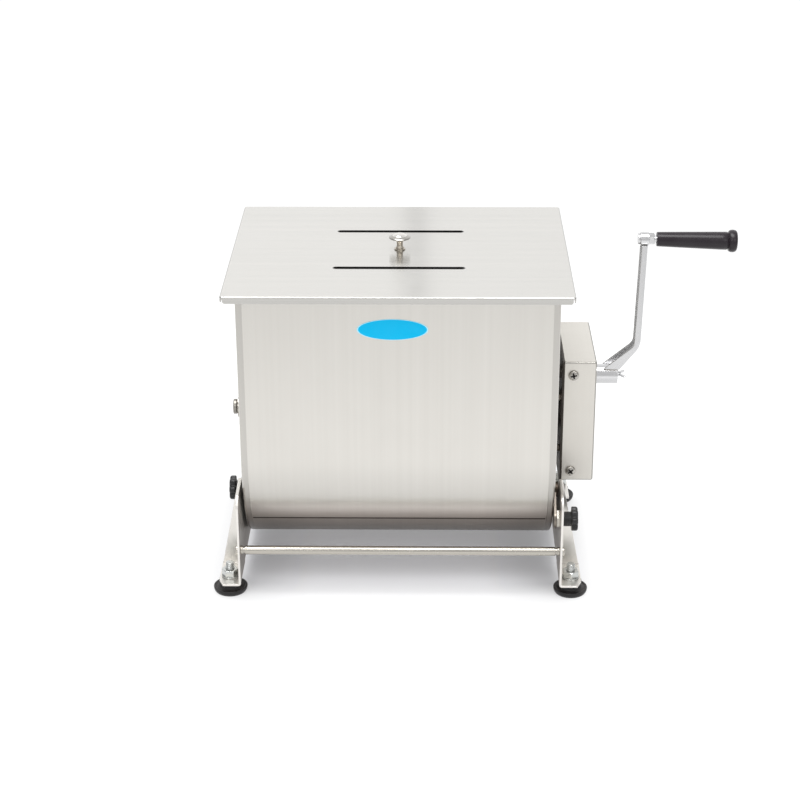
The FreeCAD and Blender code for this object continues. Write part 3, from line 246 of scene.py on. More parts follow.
def makeWorld(look):
    # the camera sees plain white; the mixer sees a bright backdrop and dim sides
    world = bpy.data.worlds.new("studioWorld")
    scene.world = world
    world.use_nodes = True
    tree = world.node_tree
    tree.nodes.clear()
    plain = {"Color": (1.0, 1.0, 1.0), "Strength": look["glowFar"]}
    white = fillNode(tree, addNode(tree, "Background"), plain)
    toward = axesOf(tree, addNode(tree, "TexCoord").outputs["Generated"])
    dim = rangeNode(tree, mathNode(tree, "ABSOLUTE", toward["X"]), *look["sideRange"], 1.0, look["sideShare"])
    depth = rangeNode(tree, toward["Y"], *look["depthRange"], look["roomGlow"], look["backdropGlow"])
    lean = mathNode(tree, "DIVIDE", toward["X"], mathNode(tree, "MAXIMUM", toward["Y"], 0.05))
    off = mathNode(tree, "ABSOLUTE", mathNode(tree, "SUBTRACT", lean, look["panelGapPlace"]))
    gap = rangeNode(tree, off, *look["panelGapRange"], look["panelGapShade"], 1.0)
    glow = times(tree, times(tree, dim, depth), gap)
    room = fillNode(tree, addNode(tree, "Background"), {"Strength": glow})
    seen = addNode(tree, "LightPath").outputs["Is Camera Ray"]
    pick = fillNode(tree, addNode(tree, "MixShader"), {0: seen, 1: room[0], 2: white[0]})
    feed(tree, addNode(tree, "OutputWorld").inputs[0], pick[0])
    arrange(tree)


def makeSoftBox(name, place, aim, width, height, watts):
    light = bpy.data.lights.new(name, "AREA")
    light.shape = "RECTANGLE"
    light.size = width
    light.size_y = height
    light.energy = watts
    holder = bpy.data.objects.new(name, light)
    scene.collection.objects.link(holder)
    holder.location = place
    holder.rotation_euler = (Vector(aim) - Vector(place)).to_track_quat("-Z", "Y").to_euler()


makeFloor(studio)
makeWorld(studio)
for softBox in softBoxes:
    makeSoftBox(*softBox)
scene.view_settings.view_transform = "Standard"
print("studio ready")


# effects shared by the finishes
def newGroup(name, inputs, outputs):
    group = bpy.data.node_groups.new(name, "ShaderNodeTree")
    for label, value in inputs.items():
        kind = "NodeSocketFloat" if isinstance(value, float) else "NodeSocketVector"
        socket = group.interface.new_socket(name=label, in_out="INPUT", socket_type=kind)
        if value is not None:
            socket.default_value = value
    for label in outputs:
        kind = "NodeSocketVector" if "Normal" in label else "NodeSocketFloat"
        group.interface.new_socket(name=label, in_out="OUTPUT", socket_type=kind)
    return group, group.nodes.new("NodeGroupInput").outputs, group.nodes.new("NodeGroupOutput")


def closeGroup(group, result, values):
    fillNode(group, result, values)
    arrange(group)
    return group


def useGroup(tree, group, place, values=None):
    node = addNode(tree, "Group", node_tree=group)
    return fillNode(tree, node, {"Object Place": place["Object"], **(values or {})})


def makeGrainGroup():
    # fine lines, tight across one axis and long along the others; faces that look along it have a second set
    inputs = {"Object Place": None, "Side Mask": 0.0}
    inputs.update({"Fine Lines": (700.0, 6.0, 6.0), "Side Lines": (6.0, 700.0, 6.0)})
    group, given, result = newGroup("brushedGrain", inputs, ("Lines", "Streaks"))
    scales = mixVector(group, given["Side Mask"], given["Fine Lines"], given["Side Lines"])
    laid = vectorNode(group, "MULTIPLY", given["Object Place"], scales)
    fine = noiseNode(group, laid, 1.0, 4.0, 0.7)
    broad = noiseNode(group, vectorNode(group, "MULTIPLY", laid, (0.16, 0.16, 0.16)), 1.0, 3.0, 0.6)
    spread = rangeNode(group, broad, 0.25, 0.75, 0.0, 1.0)
    streaks = mathNode(group, "ADD", times(group, fine, 0.45), times(group, spread, 0.55))
    return closeGroup(group, result, {"Lines": fine, "Streaks": streaks})


def makeHandlingGroup():
    # soft cloudy marks of wiping and fingers
    inputs = {"Object Place": None, "Cloud Size": 9.0, "Contrast": 0.5}
    group, given, result = newGroup("handlingMarks", inputs, ("Clouds", "Wipes"))
    cloud = noiseNode(group, given["Object Place"], given["Cloud Size"], 5.0, 0.5, 0.8)
    half = times(group, given["Contrast"], 0.5)
    low = mathNode(group, "SUBTRACT", 0.5, half)
    high = mathNode(group, "ADD", 0.5, half)
    drawn = vectorNode(group, "MULTIPLY", given["Object Place"], (30.0, 90.0, 14.0))
    wipe = noiseNode(group, drawn, 1.0, 4.0, 0.5, 1.4)
    clouds = rangeNode(group, cloud, 0.3, 0.7, low, high)
    return closeGroup(group, result, {"Clouds": clouds, "Wipes": rangeNode(group, wipe, 0.45, 0.8, 0.0, 1.0)})


def makeEdgeGroup():
    # where two faces meet: a mask of the edges and a normal that rounds them a little
    inputs = {"Object Place": None, "Raggedness": 0.35}
    group, given, result = newGroup("edgeMaskAndRound", inputs, ("Edge Mask", "Soft Normal"))
    rounded = fillNode(group, addNode(group, "Bevel", samples=4), {"Radius": 0.0007})[0]
    flat = addNode(group, "NewGeometry").outputs["Normal"]
    edge = rangeNode(group, vectorNode(group, "DOT_PRODUCT", rounded, flat), 0.995, 0.86, 0.0, 1.0)
    grit = noiseNode(group, given["Object Place"], 420.0, 3.0)
    broken = mathNode(group, "SUBTRACT", 1.0, times(group, grit, given["Raggedness"]))
    return closeGroup(group, result, {"Edge Mask": times(group, edge, broken, clamp=True), "Soft Normal": rounded})


def makeTurnedGroup():
    # fine rings left by the lathe round an axis
    inputs = {"Object Place": None, "Ring Spacing": (2600.0, 0.0, 0.0)}
    group, given, result = newGroup("turnedRings", inputs, ("Rings",))
    laid = vectorNode(group, "MULTIPLY", given["Object Place"], given["Ring Spacing"])
    return closeGroup(group, result, {"Rings": noiseNode(group, laid, 1.0, 3.0, 0.65)})


def makeSkinGroup():
    # moulded or cast skin: fine orange peel with scattered pores
    inputs = {"Object Place": None, "Peel Size": 900.0, "Pore Size": 500.0}
    group, given, result = newGroup("mouldedSkin", inputs, ("Peel", "Pores"))
    peel = noiseNode(group, given["Object Place"], given["Peel Size"], 3.0, 0.5)
    values = {"Vector": given["Object Place"], "Scale": given["Pore Size"]}
    pore = fillNode(group, addNode(group, "TexVoronoi"), values)["Distance"]
    return closeGroup(group, result, {"Peel": peel, "Pores": rangeNode(group, pore, 0.08, 0.22, 1.0, 0.0)})


def makeDustGroup():
    # a thin film of dust on faces that look up, thicker in patches
    inputs = {"Object Place": None, "Object Normal": None, "Amount": 0.3}
    group, given, result = newGroup("dustFilm", inputs, ("Dust",))
    up = rangeNode(group, axesOf(group, given["Object Normal"])["Z"], 0.35, 1.0, 0.0, 1.0)
    patch = noiseNode(group, given["Object Place"], 60.0, 6.0, 0.65)
    cover = times(group, up, rangeNode(group, patch, 0.35, 0.75, 0.25, 1.0))
    return closeGroup(group, result, {"Dust": times(group, cover, given["Amount"], clamp=True)})


def makeCreviceGroup():
    # darkening in recesses, threads and along joints, found by ambient occlusion: dirt that settles there,
    # and painted shade
    group, given, result = newGroup("creviceShadeAndDirt", {"Object Place": None, "Reach": 0.0022}, ("ShadeAndDirt",))
    closed = fillNode(group, addNode(group, "AmbientOcclusion", samples=6), {"Distance": given["Reach"]})
    deep = rangeNode(group, closed["AO"], 0.78, 0.30, 0.0, 1.0)
    grit = noiseNode(group, given["Object Place"], 900.0, 4.0, 0.6)
    uneven = rangeNode(group, grit, 0.3, 0.7, 0.65, 1.0)
    return closeGroup(group, result, {"ShadeAndDirt": times(group, deep, uneven, clamp=True)})


grainGroup = makeGrainGroup()
creviceGroup = makeCreviceGroup()
handlingGroup = makeHandlingGroup()
edgeGroup = makeEdgeGroup()
turnedGroup = makeTurnedGroup()
skinGroup = makeSkinGroup()
dustGroup = makeDustGroup()
print("shared effects ready")


def jointNamed(name):
    joint = next(one for one in frame["record"]["behaviour"]["joints"] if one["name"] == name)
    return Vector(joint["pos_m"]), Vector(joint["axis"]).normalized()


def middleOf(node):
    low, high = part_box(node)
    return (low + high) / 2


# seam low on the tank's front and back: a dark joint line under a slight ridge, heat tint together with
# painted shade for the shadow under the lap
lapShape = {
    "angle": 37.0,  # degrees below the shaft
    "ridgeWidth": 0.0036,
    "ridgeHeight": 0.00022,
    "ridgeSteps": 8,
    "lineWidth": 0.0042,
    "lineHeight": 0.00016,
    "lineSteps": 6,
    "sunk": 0.00002,  # how far the edges of both lie in the sheet
    "endGap": 0.0006,
}
shaftCentre = jointNamed("paddle_spin")[0]
tankRadius = shaftCentre.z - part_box("tank_shell")[0].z
seamHeight = shaftCentre.z - tankRadius * math.sin(math.radians(lapShape["angle"]))

# the tank: a ground weld band where each end wall wraps round, and painted shade with a warm tint on the
# underside, growing from just above the seam down to the bottom
tankBands = {
    "bandRange": (0.1737, 0.1745),  # from the tank's middle
    "bandShade": 0.80,
    "seamShade": 0.50,  # just below the seam, fading out over seamFade above it
    "seamFade": 0.020,
    "lowShade": 0.53,  # at the very bottom, lowDepth below the seam
    "lowDepth": 0.036,
    "tint": (1.0, 0.895, 0.835),
    "tintFade": 0.032,
}


def shadeTank(tree, place, tone, shade, aside):
    look = tankBands
    spot = axesOf(tree, place["Object"])
    away = mathNode(tree, "ABSOLUTE", mathNode(tree, "SUBTRACT", spot["X"], middleOf("tank_shell").x))
    band = rangeNode(tree, away, *look["bandRange"], 1.0, look["bandShade"])
    # painted shade round the seam and below it
    above = rangeNode(tree, spot["Z"], seamHeight, seamHeight + look["seamFade"], look["seamShade"], 1.0)
    below = rangeNode(tree, spot["Z"], seamHeight - look["lowDepth"], seamHeight, look["lowShade"], 1.0)
    warm = rangeNode(tree, spot["Z"], seamHeight, seamHeight + look["tintFade"], 1.0, 0.0)
    warm = times(tree, warm, mathNode(tree, "SUBTRACT", 1.0, aside))
    tone = mixColor(tree, warm, tone, mixColor(tree, 1.0, tone, look["tint"], "MULTIPLY"))
    shade = times(tree, shade, times(tree, band, times(tree, above, below)))
    return tone, mathNode(tree, "MAXIMUM", shade, aside)


# painted shade: the plates' inner faces are darkened with a warm tint, most of all low down
plateInside = {
    "tint": (0.50, 0.475, 0.455),
    "fadeHeights": (0.050, 0.085),
    "shareAbove": 0.30,
}


def shadePlateInside(tree, place, tone, shade, aside):
    spot = axesOf(tree, place["Object"])
    side = mathNode(tree, "SUBTRACT", spot["X"], shaftCentre.x)
    inward = mathNode(tree, "LESS_THAN", times(tree, side, axesOf(tree, place["Normal"])["X"]), -0.1)
    lower = rangeNode(tree, spot["Z"], *plateInside["fadeHeights"], 1.0, plateInside["shareAbove"])
    shadedTone = mixColor(tree, 1.0, tone, plateInside["tint"], "MULTIPLY")
    return mixColor(tree, times(tree, inward, lower), tone, shadedTone), shade


# the lid's slots are cut by laser: dark cut walls, and round them a thin line of painted shade
slotCut = {
    "halfRun": 0.072,
    "spread": 0.065,
    "darkenRange": (0.00376, 0.0049),  # from the slot's middle line, where the darkening starts to fade and ends
    "tone": (0.012, 0.011, 0.010),
}


def darkenSlots(tree, place, tone):
    offset = vectorNode(tree, "SUBTRACT", place["Object"], middleOf("lid"))
    outward = axesOf(tree, vectorNode(tree, "ABSOLUTE", offset))
    past = mathNode(tree, "MAXIMUM", mathNode(tree, "SUBTRACT", outward["X"], slotCut["halfRun"]), 0.0)
    aslant = mathNode(tree, "SUBTRACT", outward["Y"], slotCut["spread"])
    reach = mathNode(tree, "SQRT", mathNode(tree, "MULTIPLY_ADD", past, past, times(tree, aslant, aslant)))
    return mixColor(tree, rangeNode(tree, reach, *slotCut["darkenRange"], 1.0, 0.0), tone, slotCut["tone"])


# brushed sheet: side values are for faces that look along sideAxis, shade is painted shade on the others
plainSheet = {
    "shade": 1.0,
    "flankShade": 1.0,  # painted shade on the bends along the left and right edges
    "bendShade": 1.0,  # painted shade on every folded corner
    "lines": (900, 4, 4),
    "across": (1, 0, 0),
    "sideAxis": (1, 0, 0),
    "sideLines": (4, 900, 4),
    "sideAcross": (0, 1, 0),
    "grain": 0.10,
    "shadeAndDirt": 0.6,
    "under": None,  # a function that shades the bare sheet, and one that marks it last
    "over": None,
}
# edge is the colour laid along the edges: rubbed wear on the tank and plates, a painted highlight on the lid,
# painted shade on the gear cover
sheetLooks = {
    "tankWalls": {
        **plainSheet,
        "tone": (0.668, 0.651, 0.616), "dark": (0.618, 0.601, 0.566), "edge": (0.72, 0.70, 0.67),
        "roughness": 0.34, "anisotropy": 0.35, "wave": 0.04, "shadeAndDirt": 0.3, "under": shadeTank,
    },
    "standPlates": {
        **plainSheet,
        "tone": (0.860, 0.838, 0.800), "dark": (0.800, 0.778, 0.740), "edge": (0.80, 0.75, 0.73),
        "roughness": 0.37, "anisotropy": 0.20, "wave": 0.03, "under": shadePlateInside,
    },
    "gearCover": {
        **plainSheet,
        "tone": (0.770, 0.746, 0.698), "dark": (0.715, 0.691, 0.644), "edge": (0.42, 0.40, 0.37),
        "roughness": 0.42, "anisotropy": 0.30, "wave": 0.02, "shade": 0.92, "bendShade": 0.45,
        "lines": (800, 4, 4), "sideAxis": (0, 0, 1), "sideLines": (800, 4, 4), "sideAcross": (1, 0, 0),
    },
    "lidSheet": {
        **plainSheet,
        "tone": (0.690, 0.676, 0.648), "dark": (0.622, 0.616, 0.592), "edge": (0.88, 0.87, 0.84),
        "roughness": 0.15, "anisotropy": 0.97, "wave": 0.0, "grain": 0.05, "shade": 0.84, "flankShade": 0.50,
        "lines": (3, 3, 700), "across": (0, 0, 1), "sideAxis": (0, 0, 1), "sideLines": (3, 420, 3),
        "over": darkenSlots,
    },
}


def makeSheet(name, look):
    material, tree, shader, place = startMaterial(name)
    turned = vectorNode(tree, "ABSOLUTE", place["Normal"])
    facing = axesOf(tree, turned)
    aside = mathNode(tree, "GREATER_THAN", vectorNode(tree, "DOT_PRODUCT", turned, look["sideAxis"]), 0.7)
    toWorld = addNode(tree, "VectorTransform", convert_from="OBJECT", convert_to="WORLD")
    tangent = fillNode(tree, toWorld, {0: mixVector(tree, aside, look["across"], look["sideAcross"])})[0]
    lines = {"Side Mask": aside, "Fine Lines": look["lines"], "Side Lines": look["sideLines"]}
    grain = useGroup(tree, grainGroup, place, lines)
    marks = useGroup(tree, handlingGroup, place, {"Cloud Size": 7.0, "Contrast": 0.8})
    edges = useGroup(tree, edgeGroup, place, {"Raggedness": 0.10})
    shadeAndDirt = useGroup(tree, creviceGroup, place, {"Reach": 0.0020})
    tone = mixColor(tree, grain["Streaks"], look["dark"], look["tone"])
    tone = mixColor(tree, times(tree, marks["Clouds"], 0.08), tone, (0.50, 0.47, 0.43))
    # painted shade on faces that don't look along sideAxis, on the side bends and on folded corners
    shade = rangeNode(tree, aside, 0.0, 1.0, look["shade"], 1.0)
    if look["flankShade"] < 1.0:
        flank = rangeNode(tree, facing["X"], 0.05, 0.4, 1.0, look["flankShade"])
        shade = mathNode(tree, "MINIMUM", shade, flank)
    if look["bendShade"] < 1.0:
        most = mathNode(tree, "MAXIMUM", mathNode(tree, "MAXIMUM", facing["X"], facing["Y"]), facing["Z"])
        shade = mathNode(tree, "MINIMUM", shade, rangeNode(tree, most, 0.985, 0.90, 1.0, look["bendShade"]))
    if look["under"]:
        tone, shade = look["under"](tree, place, tone, shade, aside)
    tone = mixColor(tree, 1.0, tone, shade, "MULTIPLY")
    # edges take the look's edge colour: rubbed wear, a painted highlight on the lid, painted shade on the
    # gear cover
    tone = mixColor(tree, times(tree, edges["Edge Mask"], 0.5), tone, look["edge"])
    if look["over"]:
        tone = look["over"](tree, place, tone)
    # painted shade and dirt in recesses
    tone = mixColor(tree, times(tree, shadeAndDirt["ShadeAndDirt"], look["shadeAndDirt"]), tone, (0.120, 0.100, 0.080))
    rough = rangeNode(tree, grain["Lines"], 0.25, 0.75, look["roughness"] - 0.02, look["roughness"] + 0.03)
    sway = noiseNode(tree, place["Object"], 6.5, 1.0)
    normal = bumpNode(tree, sway, look["wave"], 0.004, edges["Soft Normal"])
    return closeMaterial(material, tree, shader, {
        "Base Color": tone,
        "Metallic": 1.0,
        "Roughness": mathNode(tree, "ADD", rough, times(tree, marks["Wipes"], 0.04)),
        "Anisotropic": look["anisotropy"],
        "Tangent": tangent,
        "Normal": bumpNode(tree, grain["Lines"], look["grain"], 0.00012, normal),
    })


# turned, drawn or forged solid steel
barLooks = {  # bright tone, dark tone, roughness, skin, rings along each axis, shade and dirt in recesses
    "satinCrank": ((0.610, 0.610, 0.615), (0.540, 0.540, 0.545), 0.27, 0.15, (0, 0, 300), 0.0),
    "channelInside": ((0.660, 0.660, 0.665), (0.600, 0.600, 0.605), 0.46, 0.02, (0, 0, 60), 0.0),
    "brightHub": ((0.720, 0.720, 0.725), (0.560, 0.560, 0.570), 0.16, 0.05, (2200, 0, 0), 0.0),
    # painted shade: darker, warmer copies of the chrome for the lid knob's neck and rim
    "knobNeck": ((0.600, 0.550, 0.475), (0.470, 0.420, 0.350), 0.12, 0.02, (0, 0, 1500), 0.5),
    "knobRim": ((0.500, 0.485, 0.460), (0.400, 0.385, 0.360), 0.14, 0.02, (0, 0, 1500), 0.3),
    "chromeKnob": ((0.800, 0.785, 0.755), (0.730, 0.712, 0.680), 0.09, 0.02, (0, 0, 1500), 0.3),
    "turnedRod": ((0.560, 0.535, 0.485), (0.440, 0.415, 0.370), 0.20, 0.03, (1500, 0, 0), 0.5),
    "recessShade": ((0.020, 0.018, 0.016), (0.012, 0.011, 0.010), 0.50, 0.10, (0, 900, 0), 0.0),
    # painted shade: near-black steel for parts and a groove that sit in shade
    "burntSteel": ((0.120, 0.098, 0.078), (0.050, 0.040, 0.032), 0.36, 0.20, (900, 0, 0), 0.8),
    "capSteel": ((0.380, 0.365, 0.335), (0.250, 0.235, 0.210), 0.30, 0.08, (0, 600, 0), 0.4),
    "screwSteel": ((0.520, 0.500, 0.465), (0.360, 0.345, 0.320), 0.20, 0.08, (0, 900, 0), 0.9),
    "zincCoat": ((0.650, 0.660, 0.635), (0.500, 0.515, 0.515), 0.19, 0.16, (0, 0, 1200), 0.9),
    "gearTeeth": ((0.430, 0.425, 0.415), (0.330, 0.322, 0.310), 0.30, 0.12, (1500, 0, 0), 0.8),
    # the lap seam's joint line: heat tint, and painted shade for the shadow under the lap
    "heatTint": ((0.066, 0.053, 0.040), (0.040, 0.031, 0.023), 0.42, 0.20, (60, 0, 0), 0.3),
    "shadedSteel": ((0.300, 0.270, 0.235), (0.190, 0.165, 0.140), 0.34, 0.15, (900, 0, 0), 0.7),
    "weldBeads": ((0.520, 0.500, 0.470), (0.300, 0.275, 0.250), 0.34, 0.45, (300, 300, 300), 0.6),
}


def makeBar(name, bright, dark, roughness, peel, spacing, shadeDirtAmount):
    material, tree, shader, place = startMaterial(name)
    rings = useGroup(tree, turnedGroup, place, {"Ring Spacing": spacing})["Rings"]
    skin = useGroup(tree, skinGroup, place, {"Peel Size": 1100.0, "Pore Size": 260.0})
    clouds = useGroup(tree, handlingGroup, place, {"Cloud Size": 38.0, "Contrast": 0.9})["Clouds"]
    edges = useGroup(tree, edgeGroup, place)
    shadeAndDirt = useGroup(tree, creviceGroup, place)["ShadeAndDirt"]
    tone = mixColor(tree, rings, dark, bright)
    tone = mixColor(tree, times(tree, clouds, 0.16), tone, dark)
    tone = mixColor(tree, times(tree, edges["Edge Mask"], 0.35), tone, (0.80, 0.79, 0.77))
    # painted shade and dirt in recesses
    tone = mixColor(tree, times(tree, shadeAndDirt, shadeDirtAmount), tone, (0.060, 0.050, 0.042))
    rough = rangeNode(tree, clouds, 0.2, 0.8, roughness - 0.03, roughness + 0.06)
    rough = mathNode(tree, "ADD", rough, times(tree, skin["Pores"], 0.08))
    height = mathNode(tree, "ADD", times(tree, rings, 0.5), times(tree, skin["Peel"], 0.5))
    return closeMaterial(material, tree, shader, {
        "Base Color": tone,
        "Metallic": mathNode(tree, "SUBTRACT", 1.0, times(tree, shadeAndDirt, shadeDirtAmount * 0.7)),
        "Roughness": mathNode(tree, "ADD", rough, times(tree, shadeAndDirt, shadeDirtAmount * 0.3)),
        "Normal": bumpNode(tree, height, 0.10 + peel, 0.0001, edges["Soft Normal"]),
    })


# rubber, plastics and paint
mouldedLooks = {  # tone, worn tone, shine, roughness, skin, dust
    "footRubber": ((0.011, 0.010, 0.011), (0.040, 0.038, 0.038), 0.30, 0.38, 0.25, 0.25),
    "gripPlastic": ((0.012, 0.008, 0.012), (0.030, 0.026, 0.030), 0.32, 0.24, 0.03, 0.04),
    "knobPlastic": ((0.008, 0.008, 0.009), (0.040, 0.040, 0.042), 0.40, 0.28, 0.12, 0.06),
    "spacerPlastic": ((0.010, 0.009, 0.009), (0.040, 0.038, 0.037), 0.25, 0.40, 0.12, 0.06),
    "bearingNylon": ((0.720, 0.700, 0.620), (0.800, 0.790, 0.730), 0.45, 0.42, 0.08, 0.15),
    "darkPaint": ((0.020, 0.015, 0.012), (0.120, 0.105, 0.090), 0.20, 0.40, 0.20, 0.06),
}


def makeMoulded(name, plain, worn, shine, roughness, peel, dusting):
    material, tree, shader, place = startMaterial(name)
    skin = useGroup(tree, skinGroup, place, {"Peel Size": 1500.0, "Pore Size": 700.0})
    clouds = useGroup(tree, handlingGroup, place, {"Cloud Size": 45.0, "Contrast": 0.9})["Clouds"]
    edges = useGroup(tree, edgeGroup, place)
    dust = useGroup(tree, dustGroup, place, {"Object Normal": place["Normal"], "Amount": dusting})["Dust"]
    tone = mixColor(tree, times(tree, clouds, 0.35), plain, worn)
    tone = mixColor(tree, times(tree, edges["Edge Mask"], 0.5), tone, worn)
    rough = rangeNode(tree, clouds, 0.1, 0.9, roughness - 0.04, roughness + 0.08)
    height = mathNode(tree, "SUBTRACT", skin["Peel"], times(tree, skin["Pores"], 0.4))
    return closeMaterial(material, tree, shader, {
        "Base Color": mixColor(tree, times(tree, dust, 0.35), tone, (0.34, 0.32, 0.30)),
        "Roughness": mathNode(tree, "ADD", rough, times(tree, dust, 0.4)),
        "Specular IOR Level": shine,
        "Normal": bumpNode(tree, height, 0.15 + peel, 0.0002, edges["Soft Normal"]),
    })


finishes = {name: makeSheet(name, look) for name, look in sheetLooks.items()}
for makeLook, looks in ((makeBar, barLooks), (makeMoulded, mouldedLooks)):
    for name, look in looks.items():
        finishes[name] = makeLook(name, *look)

# blank oval label: plain film with a paler rim
labelLook = {
    "film": (0.0, 0.46, 0.80),
    "rim": (0.42, 0.80, 0.92),
    "rimRange": (0.955, 0.975),  # as shares of the oval
    "glossRange": (0.34, 0.46),
    "shine": 0.06,
}


def makeLabelFilm(look):
    material, tree, shader, place = startMaterial("labelFilm")
    low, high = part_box("blank_label")
    centred = vectorNode(tree, "SUBTRACT", place["Object"], (low + high) / 2)
    oval = vectorNode(tree, "MULTIPLY", centred, (2 / (high.x - low.x), 0.0, 2 / (high.z - low.z)))
    rim = rangeNode(tree, vectorNode(tree, "LENGTH", oval), *look["rimRange"], 0.0, 1.0)
    clouds = useGroup(tree, handlingGroup, place, {"Cloud Size": 30.0, "Contrast": 0.6})["Clouds"]
    skin = useGroup(tree, skinGroup, place, {"Peel Size": 1300.0, "Pore Size": 600.0})
    film = mixColor(tree, times(tree, clouds, 0.04), look["film"], look["rim"])
    return closeMaterial(material, tree, shader, {
        "Base Color": mixColor(tree, rim, film, look["rim"]),
        "Roughness": rangeNode(tree, clouds, 0.0, 1.0, *look["glossRange"]),
        "Specular IOR Level": look["shine"],
        "Normal": bumpNode(tree, skin["Peel"], 0.08, 0.0001),
    })


finishes["labelFilm"] = makeLabelFilm(labelLook)
print("finishes ready:", len(finishes))

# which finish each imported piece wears
dressing = {
    "tankWalls": ["tank_shell", "tank_left_end", "tank_right_end"],
    "standPlates": ["left_side_plate", "right_side_plate"],
    "gearCover": ["gearbox_cover"],
    "lidSheet": ["lid"],
    "darkPaint": ["gearbox_back_plate"],
    "turnedRod": ["front_tie_rod", "rear_tie_rod", "left_bearing_housing", "right_bearing_housing",
                  "mixing_shaft", "paddle_arms", "paddle_blades", "gear_spacer", "gear_washer",
                  "shaft_end_washer", "pinion_shaft", "tilt_lock_block", "tie_rod_screws"],
    "shadedSteel": ["lock_catch", "gearbox_standoffs", "pivot_washers", "tilt_lock_washer",
                    "tilt_lock_screw"],
    # painted shade on the pivot parts between the tank and the right plate
    "burntSteel": ["pivot_studs", "right_pivot_spacer", "right_pivot_nut"],
    "screwSteel": ["cover_screws", "gearbox_bolts", "lid_knob_screw", "gear_nut", "shaft_end_bolt"],
    "zincCoat": ["foot_bolts", "foot_nuts", "foot_washers"],
    "gearTeeth": ["main_gear", "pinion_gear"],
    "satinCrank": ["crank_arm"],
    "brightHub": ["crank_hub", "crank_eye", "crank_wing_screw", "grip_pin", "grip_pin_nut"],
    "chromeKnob": ["lid_knob"],
    "footRubber": ["rubber_feet"],
    "gripPlastic": ["crank_grip"],
    "knobPlastic": ["left_pivot_knob", "tilt_lock_knob"],
    "spacerPlastic": ["left_pivot_spacer"],
    "bearingNylon": ["shaft_bushes", "shaft_seals", "pinion_bushes"],
    "labelFilm": ["blank_label"],
}
for finish, names in dressing.items():
    for name in names:
        mesh = nodes[name].data
        mesh.materials.clear()
        mesh.materials.append(finishes[finish])
print("packed pieces dressed")


# mesh helpers for the pieces that stand in for packed ones, and for trim
def finishPiece(bm, name, body, looks, replaced=(), sharp=60.0):
    bmesh.ops.recalc_face_normals(bm, faces=bm.faces)
    mesh = bpy.data.meshes.new(name)
    bm.to_mesh(mesh)
    bm.free()
    for look in looks:
        mesh.materials.append(finishes[look])
    mesh.update()
    mesh.validate()
    for face in mesh.polygons:
        face.use_smooth = True
    mesh.set_sharp_from_angle(angle=math.radians(sharp))
    piece = bpy.data.objects.new(name, mesh)
    scene.collection.objects.link(piece)
    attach(piece, body)
    if replaced:
        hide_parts(*replaced)


def joinRows(bm, rows):
    for one, two in zip(rows, rows[1:]):
        for k in range(len(one) - 1):
            bm.faces.new((one[k], one[k + 1], two[k + 1], two[k]))


def joinRings(bm, rings, closed=False):
    # closed joins the last ring to the first, otherwise both ends get a flat face
    if closed:
        rings = rings + rings[:1]
    joinRows(bm, [ring + ring[:1] for ring in rings])
    if not closed:
        bm.faces.new(list(reversed(rings[0])))
        bm.faces.new(rings[-1])


def axisFrame(start, direction, steep=0.9, spare=(0, 1, 0)):
    # the start, and the directions along, across and up; spare stands in for z where the way is steep
    forward = Vector(direction).normalized()
    side = Vector((0, 0, 1) if abs(forward.z) < steep else spare)
    across = forward.cross(side).normalized()
    return Vector(start), forward, across, across.cross(forward).normalized()


def around(axes, along, radius, segments, bend=None):
    # points on a circle round an axis; bend(along, radius, angle) may move each of them
    origin, forward, across, up = axes
    points = []
    for k in range(segments):
        angle = 2 * math.pi * k / segments
        rise, reach = bend(along, radius, angle) if bend else (along, radius)
        flat = across * (reach * math.cos(angle)) + up * (reach * math.sin(angle))
        points.append(origin + forward * rise + flat)
    return points


def ringOf(bm, points):
    return [bm.verts.new(point) for point in points]


def spin(bm, axes, profile, segments, bend=None, closed=False):
    # a turned form from (along, radius) points
    rings = [ringOf(bm, around(axes, along, radius, segments, bend)) for along, radius in profile]
    joinRings(bm, rings, closed)


def arcPoints(centre, radius, angles):
    # points on a circle at these angles in degrees
    turns = [math.radians(angle) for angle in angles]
    return [(centre[0] + radius * math.cos(turn), centre[1] + radius * math.sin(turn)) for turn in turns]


# rubber feet: moulded bowls with a moulding line, a soft rim and a boss under the tab
footShape = {
    "rimRadius": 0.0200,
    "baseRadius": 0.0163,
    "bossRadius": 0.0130,
    "recessRadius": 0.0110,
    "recessDepth": 0.0090,
    "rimHeight": 0.0077,
    "rimRound": 0.0009,
    "stem": 0.0170,
    "stemRound": 0.0007,
    "hole": 0.00505,
    "edge": 0.0004,
    "lineDepth": 0.00018,
    "lineSteps": (5, 6),  # which of the bowl's steps are drawn in for the moulding line
    "bowlSteps": 12,
    "segments": 56,
}


def footPlaces():
    low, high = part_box("rubber_feet")
    rim = footShape["rimRadius"]
    return [(x, y, 0) for x in (low.x + rim, high.x - rim) for y in (low.y + rim, high.y - rim)]


